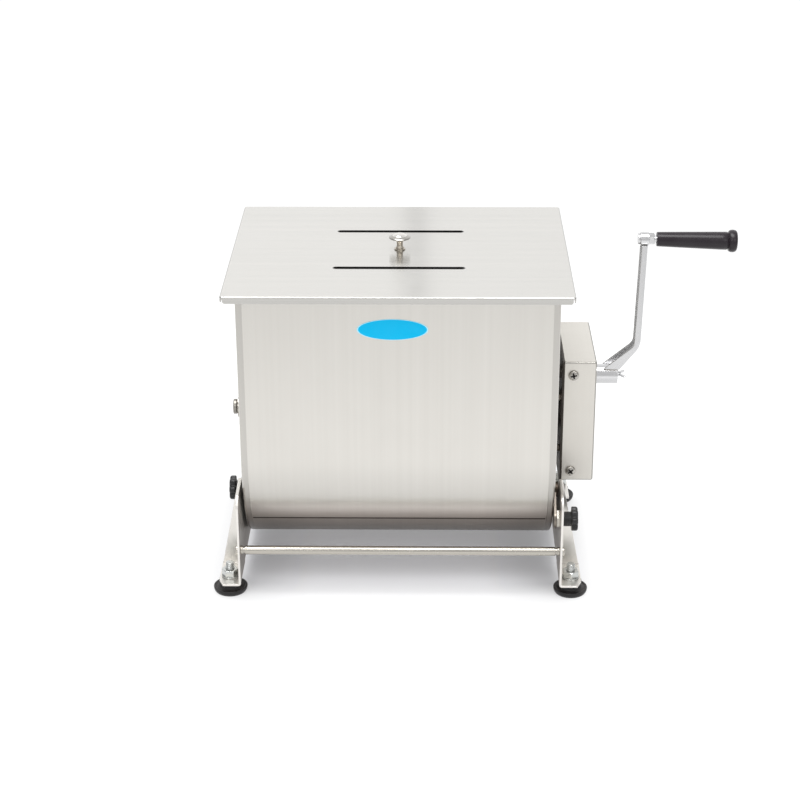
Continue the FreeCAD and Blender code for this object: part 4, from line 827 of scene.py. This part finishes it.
def makeFeet(shape):
    rim, base, boss = shape["rimRadius"], shape["baseRadius"], shape["bossRadius"]
    recess, depth, edge = shape["recessRadius"], shape["recessDepth"], shape["edge"]
    top, stem, soft = shape["rimHeight"], shape["stem"], shape["stemRound"]
    profile = [(depth, shape["hole"]), (depth, recess - edge), (depth - edge, recess), (edge, recess),
               (0.0, recess + edge), (0.0, base - 2 * edge), (edge, base)]
    for k in range(1, shape["bowlSteps"] + 1):
        turn = math.pi / 2 * k / shape["bowlSteps"]
        inset = shape["lineDepth"] if k in shape["lineSteps"] else 0.0
        height = edge + (top - 0.0014) * (1 - math.cos(turn))
        profile.append((height, base + (rim - base) * math.sin(turn) - inset))
    lip = shape["rimRound"]
    profile += [(z, r) for r, z in arcPoints((rim - lip, top - lip), lip, range(0, 91, 18))]
    profile += [(top, rim - 0.0022), (top - 0.0006, rim - 0.0030), (top - 0.0004, rim - 0.0040),
                (top + 0.0002, boss + 0.0014), (top + 0.0007, boss + 0.0005), (top + 0.0016, boss),
                (stem - soft, boss), (stem, boss - soft), (stem, shape["hole"])]
    bm = bmesh.new()
    for place in footPlaces():
        spin(bm, axisFrame(place, (0, 0, 1)), profile, shape["segments"], closed=True)
    finishPiece(bm, "mouldedFeet", "stand", ["footRubber"], ["rubber_feet"], 50)


# foot studs: hexagon head in the foot's recess and a cut thread above
studShape = {
    "radius": 0.0050,
    "pitch": 0.0015,
    "threadDepth": 0.00065,
    "tip": 0.0010,  # height of the cone that ends the thread
    "turnRows": 8,
    "headFlats": 0.0160,
    "headStart": 0.0040,
    "headEnd": 0.0090,
    "chamfer": 0.0008,
    "threadSegments": 28,
    "headSegments": 48,
}


def makeFootStuds(shape):
    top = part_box("foot_bolts")[1].z
    end = shape["headEnd"]
    half = shape["headFlats"] / 2
    head = [(shape["headStart"], 2 * half), (end - shape["chamfer"] * 0.58, 2 * half),
            (end - shape["chamfer"] * 0.30, half * 1.06), (end, half * 0.955)]
    start = end - 0.0002
    rows = int((top - start) / shape["pitch"] * shape["turnRows"])
    shank = [(start + (top - start) * row / rows, shape["radius"]) for row in range(rows + 1)]

    def hexagon(along, reach, angle):
        return along, min(reach, half / math.cos(angle % (math.pi / 3) - math.pi / 6))

    def thread(along, reach, angle):
        phase = (along / shape["pitch"] - angle / (2 * math.pi)) % 1.0
        cut = reach - shape["threadDepth"] * (1 - abs(2 * phase - 1))
        return along, min(cut, reach - shape["tip"] + top - along)

    bm = bmesh.new()
    for place in footPlaces():
        axes = axisFrame(place, (0, 0, 1))
        spin(bm, axes, head, shape["headSegments"], hexagon)
        spin(bm, axes, shank, shape["threadSegments"], thread)
    finishPiece(bm, "threadedFootStuds", "stand", ["zincCoat"], ["foot_bolts"], 35)


def islandBoxes(node):
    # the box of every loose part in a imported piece
    bm = bmesh.new()
    bm.from_mesh(nodes[node].data)
    bmesh.ops.remove_doubles(bm, verts=bm.verts, dist=1e-6)
    left = set(bm.verts)
    boxes = []
    while left:
        reached = set()
        ahead = [left.pop()]
        while ahead:
            vert = ahead.pop()
            if vert not in reached:
                reached.add(vert)
                ahead += [link.other_vert(vert) for link in vert.link_edges]
        left -= reached
        places = [nodes[node].matrix_world @ vert.co for vert in reached]
        boxes.append([Vector([pick(place[k] for place in places) for k in range(3)]) for pick in (min, max)])
    bm.free()
    return boxes


# cover screws: pan heads with a deep cross recess
panShape = {
    "headRadius": 0.0060,
    "head": 0.0034,
    "crown": 0.42,  # the share of its height that the head loses towards its rim
    "crownPower": 2.6,
    "rimDrops": {30: 0.0009, 29: 0.0004},  # the outermost of the head's steps are rounded down
    "headSteps": 30,
    "segments": 80,
    "shank": 0.0029,
    "crossLength": 0.0040,
    "crossWidth": 0.0018,
    "crossDepth": 0.0024,
    "crossWall": 0.00022,  # how wide the slope of the recess is along its sides, and at its ends
    "crossEnd": 0.0007,
    "turns": (38.0, 12.0, 64.0, 27.0),
}


def crossCut(across, up, shape):
    # how deep the recess is at a point of the head, 0 outside it
    near, far = sorted((abs(across), abs(up)))
    share = far / shape["crossLength"]
    half = shape["crossWidth"] / 2 * (1.15 - 0.35 * share) + 0.00018
    wall = min(1.0, max(0.0, (half - near) / shape["crossWall"]))
    taper = min(1.0, max(0.0, (shape["crossLength"] - far) / shape["crossEnd"]))
    return shape["crossDepth"] * wall * taper * (1.0 - 0.45 * share)


def makePanScrews(shape):
    radius, steps, shank = shape["headRadius"], shape["headSteps"], shape["shank"]
    headStart = 0.0005

    def recess(along, reach, angle):
        if along < headStart:
            return along, reach
        return along - crossCut(reach * math.cos(angle), reach * math.sin(angle), shape), reach

    middleY = jointNamed("crank_spin")[0].y
    boxes = sorted(islandBoxes("cover_screws"), key=lambda pair: (pair[0].y, pair[0].z))
    bm = bmesh.new()
    for index, (low, high) in enumerate(boxes):
        seat = (low + high) / 2
        stem = high.y - low.y - shape["head"]
        outwards = -1 if seat.y < middleY else 1
        seat.y += outwards * ((high.y - low.y) / 2 - shape["head"])
        turn = math.radians(shape["turns"][index % 4])
        forward = Vector((0, outwards, 0))
        across = Vector((math.cos(turn), 0, math.sin(turn)))
        up = forward.cross(across)
        profile = [(-stem, shank * 0.8), (0.0006 - stem, shank), (0.0, shank), (0.0, radius - 0.0003),
                   (0.0004, radius)]
        for k in range(steps, 0, -1):
            height = shape["head"] * (1 - shape["crown"] * (k / steps) ** shape["crownPower"])
            profile.append((height - shape["rimDrops"].get(k, 0.0), radius * k / steps))
        done = len(bm.faces)
        spin(bm, (seat, forward, across, up), profile, shape["segments"], recess)
        bm.faces.ensure_lookup_table()
        for face in bm.faces[done:]:
            spot = face.calc_center_median() - seat
            deep = crossCut(spot.dot(across), spot.dot(up), shape) > shape["crossDepth"] * 0.35
            face.material_index = int(deep and spot.dot(forward) > 0.0001)
    finishPiece(bm, "panScrews", "tank", ["screwSteel", "recessShade"], ["cover_screws"], 45)


# lid knob: flange with a ring, waisted neck, wide rim and a domed crown
lidKnobShape = {
    "packedHeight": 0.018,
    "segments": 72,
    # the neck and the rim wear painted shade, darker copies of the chrome
    "looks": ["chromeKnob", "knobNeck", "knobRim"],
    "bands": (0.0115, 0.0171),  # up to where the second look reaches, and then the third
    "outline": [  # height above the lid, radius, both in millimetres
        (0.0, 5.9), (0.3, 6.4), (1.1, 6.4), (1.5, 6.1), (1.7, 4.9), (2.1, 4.6), (2.6, 4.9), (3.0, 4.6),
        (3.8, 3.9), (5.2, 3.6), (7.4, 3.6), (9.0, 3.8), (10.3, 4.3), (11.3, 5.2), (12.0, 6.6), (12.7, 8.8),
        (13.5, 11.0), (14.1, 12.2), (14.5, 12.7), (14.9, 12.8), (15.3, 12.65), (15.75, 12.2), (16.3, 11.2),
        (16.8, 9.8), (17.3, 8.4), (17.8, 7.6), (18.5, 6.6), (19.2, 5.0), (19.7, 3.0), (19.9, 0.6),
    ],
}

# the round head that closes the left end of the paddle shaft, with a groove behind it in painted shade
endCapShape = {
    "segments": 64,
    "looks": ["capSteel", "burntSteel"],
    "bands": (0.00165,),
    "outline": [  # distance from the washer, radius, both in millimetres
        (0.0, 0.6), (0.0, 8.3), (1.5, 8.3), (1.6, 9.0), (1.9, 9.3), (5.2, 9.3), (5.7, 8.9), (5.9, 8.2),
        (5.9, 0.6),
    ],
}


def makeBanded(name, body, start, direction, shape, replaced, tall=1.0):
    # a turned piece whose look changes along its axis
    profile = [(along * mm * tall, radius * mm) for along, radius in shape["outline"]]
    axes = axisFrame(start, direction)
    bm = bmesh.new()
    spin(bm, axes, profile, shape["segments"])
    for face in bm.faces:
        along = (face.calc_center_median() - axes[0]).dot(axes[1]) / tall
        below = [index for index, top in enumerate(shape["bands"], 1) if along < top]
        face.material_index = below[0] if below else 0
    finishPiece(bm, name, body, shape["looks"], [replaced], 30)


def makeLidKnob(shape):
    low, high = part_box("lid_knob")
    middle = middleOf("lid_knob")
    start = (middle.x, middle.y, low.z)
    tall = (high.z - low.z) / shape["packedHeight"]
    makeBanded("turnedLidKnob", "lid", start, (0, 0, 1), shape, "lid_knob", tall)


def makeEndCap(shape):
    start = (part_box("shaft_end_washer")[0].x, shaftCentre.y, shaftCentre.z)
    makeBanded("shaftEndCap", "paddle", start, (-1, 0, 0), shape, "shaft_end_bolt")


# star knobs: soft lobes, a ribbed hub and a dished face
knobShape = {
    "outer": 0.0146,
    "valley": 0.0034,
    "valleyPower": 2.2,
    "hub": 0.0086,
    "hubBore": 0.0046,
    "wheel": 0.0074,  # how thick the star is
    "backRound": 0.0012,
    "lobes": 7,
    "faceDish": 0.0008,
    "hubRibs": 24,
    "ribDepth": 0.00022,
    "segments": 96,
}


def makeStarKnob(name, node, body, outwards, shape):
    low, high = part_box(node)
    middle = (low + high) / 2
    length = high.x - low.x
    outer, core, soft = shape["outer"], shape["hub"], shape["backRound"]
    hub = length - shape["wheel"]
    dish = length - shape["faceDish"]
    profile = [(0.0, shape["hubBore"]), (0.0, core - 0.0005), (0.0005, core), (hub - 0.0006, core),
               (hub, core + 0.0006), (hub, outer - 0.0016)]
    profile += arcPoints((hub + soft, outer - soft), soft, (160, 135, 110, 90))
    profile += [(hub + shape["wheel"] * 0.5, outer), (length - 0.0020, outer - 0.0001),
                (length - 0.0012, outer - 0.0004), (length - 0.0005, outer - 0.0011),
                (length - 0.0001, outer - 0.0022), (length, outer - 0.0036),
                (length - 0.0002, outer - 0.0052), (dish, outer - 0.0062), (dish, 0.0012)]

    def lobed(along, radius, angle):
        if radius < core - 0.0008 or along < hub - 0.0003:
            ribbed = 0.0004 < along < hub - 0.0004 and radius > 0.006
            rib = 0.5 + 0.5 * math.cos(shape["hubRibs"] * angle)
            return along, radius - shape["ribDepth"] * rib * ribbed
        wave = (1 - math.cos(shape["lobes"] * (angle + math.pi / 2))) / 2
        weight = min(1.0, max(0.0, (radius - 0.0075) / 0.006))
        return along, radius - shape["valley"] * wave ** shape["valleyPower"] * weight

    bm = bmesh.new()
    start = (low.x if outwards > 0 else high.x, middle.y, middle.z)
    spin(bm, axisFrame(start, (outwards, 0, 0)), profile, shape["segments"], lobed)
    finishPiece(bm, name, body, ["knobPlastic"], [node], 50)


# crank grip: tapered glossy barrel with a parting line, a groove and a round bead
gripShape = {
    "small": 0.0085,
    "large": 0.0107,
    "taperPower": 0.92,
    "bead": 0.0133,
    "beadLength": 0.0105,
    "beadPower": 0.62,
    "length": 0.0940,
    "bore": 0.00405,
    "frontRound": 0.0009,
    "gap": 0.00021,  # between the nut and the barrel
    "lineTurn": 0.35,
    "lineRise": 0.00006,
    "segments": 128,
}


def makeGrip(shape):
    centre, axis = jointNamed("grip_spin")
    start = centre + axis * ((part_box("crank_grip")[0].x - centre.x) / axis.x + shape["gap"])
    small, large, length, bore = shape["small"], shape["large"], shape["length"], shape["bore"]
    soft = shape["frontRound"]
    bead = length - shape["beadLength"]
    profile = [(0.0010, bore), (0.0, bore + 0.0008), (0.0, small - soft)]
    profile += arcPoints((soft, small - soft), soft, (155, 130, 105))
    for k in range(13):
        widened = (large - small) * (k / 12) ** shape["taperPower"]
        profile.append((0.0012 + (bead - 0.0028) * k / 12, small + widened))
    profile += [(bead - 0.0010, large - 0.0004), (bead - 0.0003, large - 0.0009),
                (bead + 0.0003, large - 0.0006)]
    half = shape["beadLength"] / 2 - 0.0002
    for k in range(1, 16):
        angle = math.pi * k / 16
        swell = (shape["bead"] - large + 0.0015) * math.sin(angle) ** shape["beadPower"]
        profile.append((bead + 0.0003 + half - half * math.cos(angle), large - 0.0015 + swell))
    profile += [(length, large - 0.0020), (length, 0.0078), (length - 0.0004, 0.0074),
                (length - 0.0048, 0.0073), (length - 0.0050, bore)]

    def partingLine(along, radius, angle):
        outside = radius > 0.0070 and 0.001 < along < length - 0.001
        near = abs(math.sin(angle - shape["lineTurn"])) < 0.03
        return along, radius + shape["lineRise"] * (outside and near)

    bm = bmesh.new()
    spin(bm, axisFrame(start, axis), profile, shape["segments"], partingLine, closed=True)
    finishPiece(bm, "glossyGrip", "grip", ["gripPlastic"], ["crank_grip"], 55)


# weld beads: overlapping ripples along a seam, half sunk in both sides
weldLook = {
    "pitch": 0.0016,
    "ripple": 0.22,
    "unevenness": (0.94, 1.0),
    "endShare": 0.4,
    "step": 0.0005,
    "segments": 10,
}


def weldBead(bm, points, radius, closed=False):
    count = len(points)
    rings = []
    travelled = 0.0
    for index, point in enumerate(points):
        before = points[index - 1] if closed or index else point
        after = points[(index + 1) % count] if closed or index < count - 1 else point
        if index:
            travelled += (point - points[index - 1]).length
        phase = (travelled / weldLook["pitch"]) % 1.0
        reach = radius * (1 - weldLook["ripple"] * phase) * random.uniform(*weldLook["unevenness"])
        if not closed and index in (0, count - 1):
            reach *= weldLook["endShare"]
        axes = axisFrame(point, after - before, 0.8, (1, 0, 0))
        rings.append(ringOf(bm, around(axes, 0.0, reach, weldLook["segments"])))
    joinRings(bm, rings, closed)


def circlePath(centre, radius, steps, axis=(1, 0, 0)):
    return around(axisFrame(centre, axis), 0.0, radius, steps)


def linePath(start, end):
    start, end = Vector(start), Vector(end)
    count = int((end - start).length / weldLook["step"])
    return [start.lerp(end, k / count) for k in range(count + 1)]


# welds round both bearing housings and round the four stand-offs of the gearbox
tankWeldShape = {
    "housingBead": 0.0013,
    "housingGap": 0.0002,
    "postBead": 0.0009,
    "postGap": 0.0001,
    "postRadius": 0.0043,
}


def makeTankWelds(shape):
    bm = bmesh.new()
    centre = middleOf("left_bearing_housing")
    for node, end in (("left_bearing_housing", 1), ("right_bearing_housing", 0)):
        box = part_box(node)
        radius = (box[1].z - box[0].z) / 2 + shape["housingGap"]
        weldBead(bm, circlePath((box[end].x, centre.y, centre.z), radius, 300), shape["housingBead"], True)
    low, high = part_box("gearbox_standoffs")
    post = shape["postRadius"]
    for y in (low.y + post, high.y - post):
        for z in (low.z + post, high.z - post):
            weldBead(bm, circlePath((low.x, y, z), post + shape["postGap"], 80), shape["postBead"], True)
    finishPiece(bm, "tankWelds", "tank", ["weldBeads"])


# welds where the upright webs meet the side plates
standWeldShape = {
    "sheet": 0.0025,
    "webInset": 0.054,  # from the plate's front and rear edges
    "beadPlaces": (-0.0002, 0.0027),  # on both sides of a web
    "bottom": 0.0235,
    "frontTopGap": 0.004,
    "rearTop": 0.0300,
    "frontBead": 0.0011,
    "rearBead": 0.0010,
}


def makeStandWelds(shape):
    bm = bmesh.new()
    for node, side in (("left_side_plate", -1), ("right_side_plate", 1)):
        low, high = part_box(node)
        face = high.x - shape["sheet"] if side < 0 else low.x + shape["sheet"]
        front = (low.y + shape["webInset"], 1, high.z - shape["frontTopGap"], shape["frontBead"])
        rear = (high.y - shape["webInset"], -1, shape["rearTop"], shape["rearBead"])
        for web, inwards, top, bead in (front, rear):
            for place in shape["beadPlaces"]:
                y = web + inwards * place
                weldBead(bm, linePath((face, y, shape["bottom"]), (face, y, top)), bead)
    finishPiece(bm, "standWelds", "stand", ["weldBeads"])


# welds at both ends of each paddle arm
paddleWeldShape = {
    "armStep": 0.084,
    "firstTurn": 45.0,
    "ends": [  # distance from the shaft's axis, radius, steps, bead
        (0.0085, 0.0064, 110, 0.0016),
        (0.0968, 0.0052, 90, 0.0013),
    ],
}


def makePaddleWelds(shape):
    bm = bmesh.new()
    for k in range(4):
        x = middleOf("paddle_arms").x + (k - 1.5) * shape["armStep"]
        turn = math.radians(shape["firstTurn"] + 90.0 * k)
        outwards = Vector((0, -math.sin(turn), math.cos(turn)))
        for away, radius, steps, bead in shape["ends"]:
            centre = Vector((x, shaftCentre.y, shaftCentre.z)) + outwards * away
            weldBead(bm, circlePath(centre, radius, steps, outwards), bead, True)
    finishPiece(bm, "paddleWelds", "paddle", ["weldBeads"])


# crank arm: a folded channel, open towards the gearbox, with a soft elbow and a deep foot welded to the hub
armShape = {
    "sheet": 0.0018,
    "fold": 0.0032,  # outer radius where web and flanges meet
    # corners seen from the front: x from the top of the web, height above the crank's axis
    "webLine": ((-0.02595, 0.0090), (-0.0028, 0.0380), (0.0, 0.1660)),
    "edgeLine": ((-0.0460, 0.0098), (-0.0106, 0.0393), (-0.0072, 0.1660)),
    "webRound": 0.025,
    "edgeRound": 0.012,
    "legSteps": 8,
    "arcSteps": 14,
    "weldStart": (-0.0452, 0.0086),  # x from the web, height above the axis
    "weldEnd": (-0.0004, 0.0084),  # x from the hub's end, height above the axis
    "weldInset": 0.0010,
    "weldBead": 0.0012,
}


def roundedLine(corners, radius, legSteps, arcSteps):
    start, corner, end = (Vector(point) for point in corners)
    back = (start - corner).normalized()
    ahead = (end - corner).normalized()
    half = math.acos(back.dot(ahead)) / 2
    first = corner + back * (radius / math.tan(half))
    last = corner + ahead * (radius / math.tan(half))
    centre = corner + (back + ahead).normalized() * (radius / math.sin(half))
    opening = math.atan2((first - centre).y, (first - centre).x)
    sweep = math.atan2((last - centre).y, (last - centre).x) - opening
    sweep = (sweep + math.pi) % (2 * math.pi) - math.pi
    angles = [math.degrees(opening + sweep * k / arcSteps) for k in range(arcSteps + 1)]
    points = [start.lerp(first, k / legSteps) for k in range(legSteps)]
    points += [Vector(point) for point in arcPoints(centre, radius, angles)]
    return points + [last.lerp(end, k / legSteps) for k in range(1, legSteps + 1)]


def channelSection(depth, half, sheet, fold):
    # closed outline as (depth from the web, across), and how many of its points lie outside
    outside = [(depth, -half + sheet * 0.3), (depth - sheet * 0.3, -half)]
    outside += arcPoints((fold, fold - half), fold, range(270, 179, -18))
    outside += [(a, -b) for a, b in reversed(outside)]
    inside = [(depth, half - sheet * 0.7), (depth - sheet * 0.3, half - sheet)]
    inside += arcPoints((fold, half - fold), fold - sheet, range(90, 181, 18))
    inside += [(a, -b) for a, b in reversed(inside)]
    return outside + inside, len(outside)


def makeCrankArm(shape):
    low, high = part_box("crank_arm")
    axis = jointNamed("crank_spin")[0]
    half = (high.y - low.y) / 2
    steps = (shape["legSteps"], shape["arcSteps"])
    web = roundedLine(shape["webLine"], shape["webRound"], *steps)
    edge = roundedLine(shape["edgeLine"], shape["edgeRound"], *steps)
    bm = bmesh.new()
    rings = []
    for outer, inner in zip(web, edge):
        depth = (inner - outer).length
        section, outsideCount = channelSection(depth, half, shape["sheet"], shape["fold"])
        inward = (inner - outer).normalized()
        points = []
        for reach, across in section:
            spot = outer + inward * reach
            points.append((high.x + spot.x, axis.y + across, axis.z + spot.y))
        rings.append(ringOf(bm, points))
    joinRings(bm, rings)
    bm.faces.ensure_lookup_table()
    count = len(rings[0])
    for row in range(len(rings) - 1):
        for k in range(outsideCount + 1, count - 2):
            bm.faces[row * count + k].material_index = 1
    looks = ["satinCrank", "channelInside"]
    finishPiece(bm, "crankChannel", "crank", looks, ["crank_arm"], 40)
    weld = bmesh.new()
    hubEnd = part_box("crank_hub")[1].x
    startX, startZ = shape["weldStart"]
    endX, endZ = shape["weldEnd"]
    for side in (-1, 1):
        y = axis.y + side * (half - shape["weldInset"])
        path = linePath((high.x + startX, y, axis.z + startZ), (hubEnd + endX, y, axis.z + endZ))
        weldBead(weld, path, shape["weldBead"])
    finishPiece(weld, "crankWelds", "crank", ["weldBeads"])


# tank corner seams: the fine ridge where the end walls meet the folded wall
seamShape = {
    "halfWidth": 0.0009,
    "rise": 0.00030,
    "sunk": 0.0001,
    "topGap": 0.0016,
    "section": [(-1, 0.0), (-0.5, 0.75), (0, 1.0), (0.5, 0.75), (1, 0.0)],  # sideways and up, as shares
}


def tankOutline(offset, topGap):
    # the tank's U outline as (y, z), front rim to back rim
    low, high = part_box("tank_shell")
    radius = shaftCentre.z - low.z + offset
    top = high.z - topGap
    ends = [(-radius, top), (-radius, (top + shaftCentre.z) / 2)]
    points = [(shaftCentre.y + y, z) for y, z in ends]
    points += arcPoints((shaftCentre.y, shaftCentre.z), radius, [180 + 2.5 * k for k in range(73)])
    return points + [(shaftCentre.y - y, z) for y, z in reversed(ends)]


def makeTankSeams(shape):
    bm = bmesh.new()
    outer = tankOutline(shape["rise"], shape["topGap"])
    inner = tankOutline(-shape["sunk"], shape["topGap"])
    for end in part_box("tank_shell"):
        rows = []
        for (oy, oz), (iy, iz) in zip(outer, inner):
            points = []
            for shift, up in shape["section"]:
                points.append((end.x + shift * shape["halfWidth"], iy + (oy - iy) * up, iz + (oz - iz) * up))
            rows.append(ringOf(bm, points))
        joinRows(bm, rows)
    finishPiece(bm, "tankSeams", "tank", ["tankWalls"])


def arcStrip(bm, side, start, width, height, steps):
    # an arched strip along the tank, from a distance below the seam, measured round the sheet
    low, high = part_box("tank_shell")
    gap = lapShape["endGap"]
    rows = []
    for k in range(steps + 1):
        turn = math.radians(lapShape["angle"]) + (start + width * k / steps) / tankRadius
        reach = tankRadius + height * math.sin(math.pi * k / steps) - lapShape["sunk"]
        y = shaftCentre.y + side * reach * math.cos(turn)
        z = shaftCentre.z - reach * math.sin(turn)
        rows.append(ringOf(bm, [(x, y, z) for x in (low.x + gap, (low.x + high.x) / 2, high.x - gap)]))
    joinRows(bm, rows)


def makeLapSeams(shape):
    ridge = bmesh.new()
    line = bmesh.new()
    width = shape["ridgeWidth"]
    for side in (-1, 1):
        arcStrip(ridge, side, -width, width, shape["ridgeHeight"], shape["ridgeSteps"])
        arcStrip(line, side, 0.0, shape["lineWidth"], shape["lineHeight"], shape["lineSteps"])
    finishPiece(ridge, "lapRidges", "tank", ["tankWalls"])
    finishPiece(line, "lapLines", "tank", ["heatTint"])


makeFeet(footShape)
makeLapSeams(lapShape)
makePanScrews(panShape)
makeLidKnob(lidKnobShape)
makeEndCap(endCapShape)
makeFootStuds(studShape)
makeStarKnob("leftStarKnob", "left_pivot_knob", "left_knob", -1, knobShape)
makeStarKnob("lockStarKnob", "tilt_lock_knob", "lock", 1, knobShape)
makeGrip(gripShape)
makeCrankArm(armShape)
makeTankWelds(tankWeldShape)
makeStandWelds(standWeldShape)
makePaddleWelds(paddleWeldShape)
makeTankSeams(seamShape)
print("detailed pieces made")
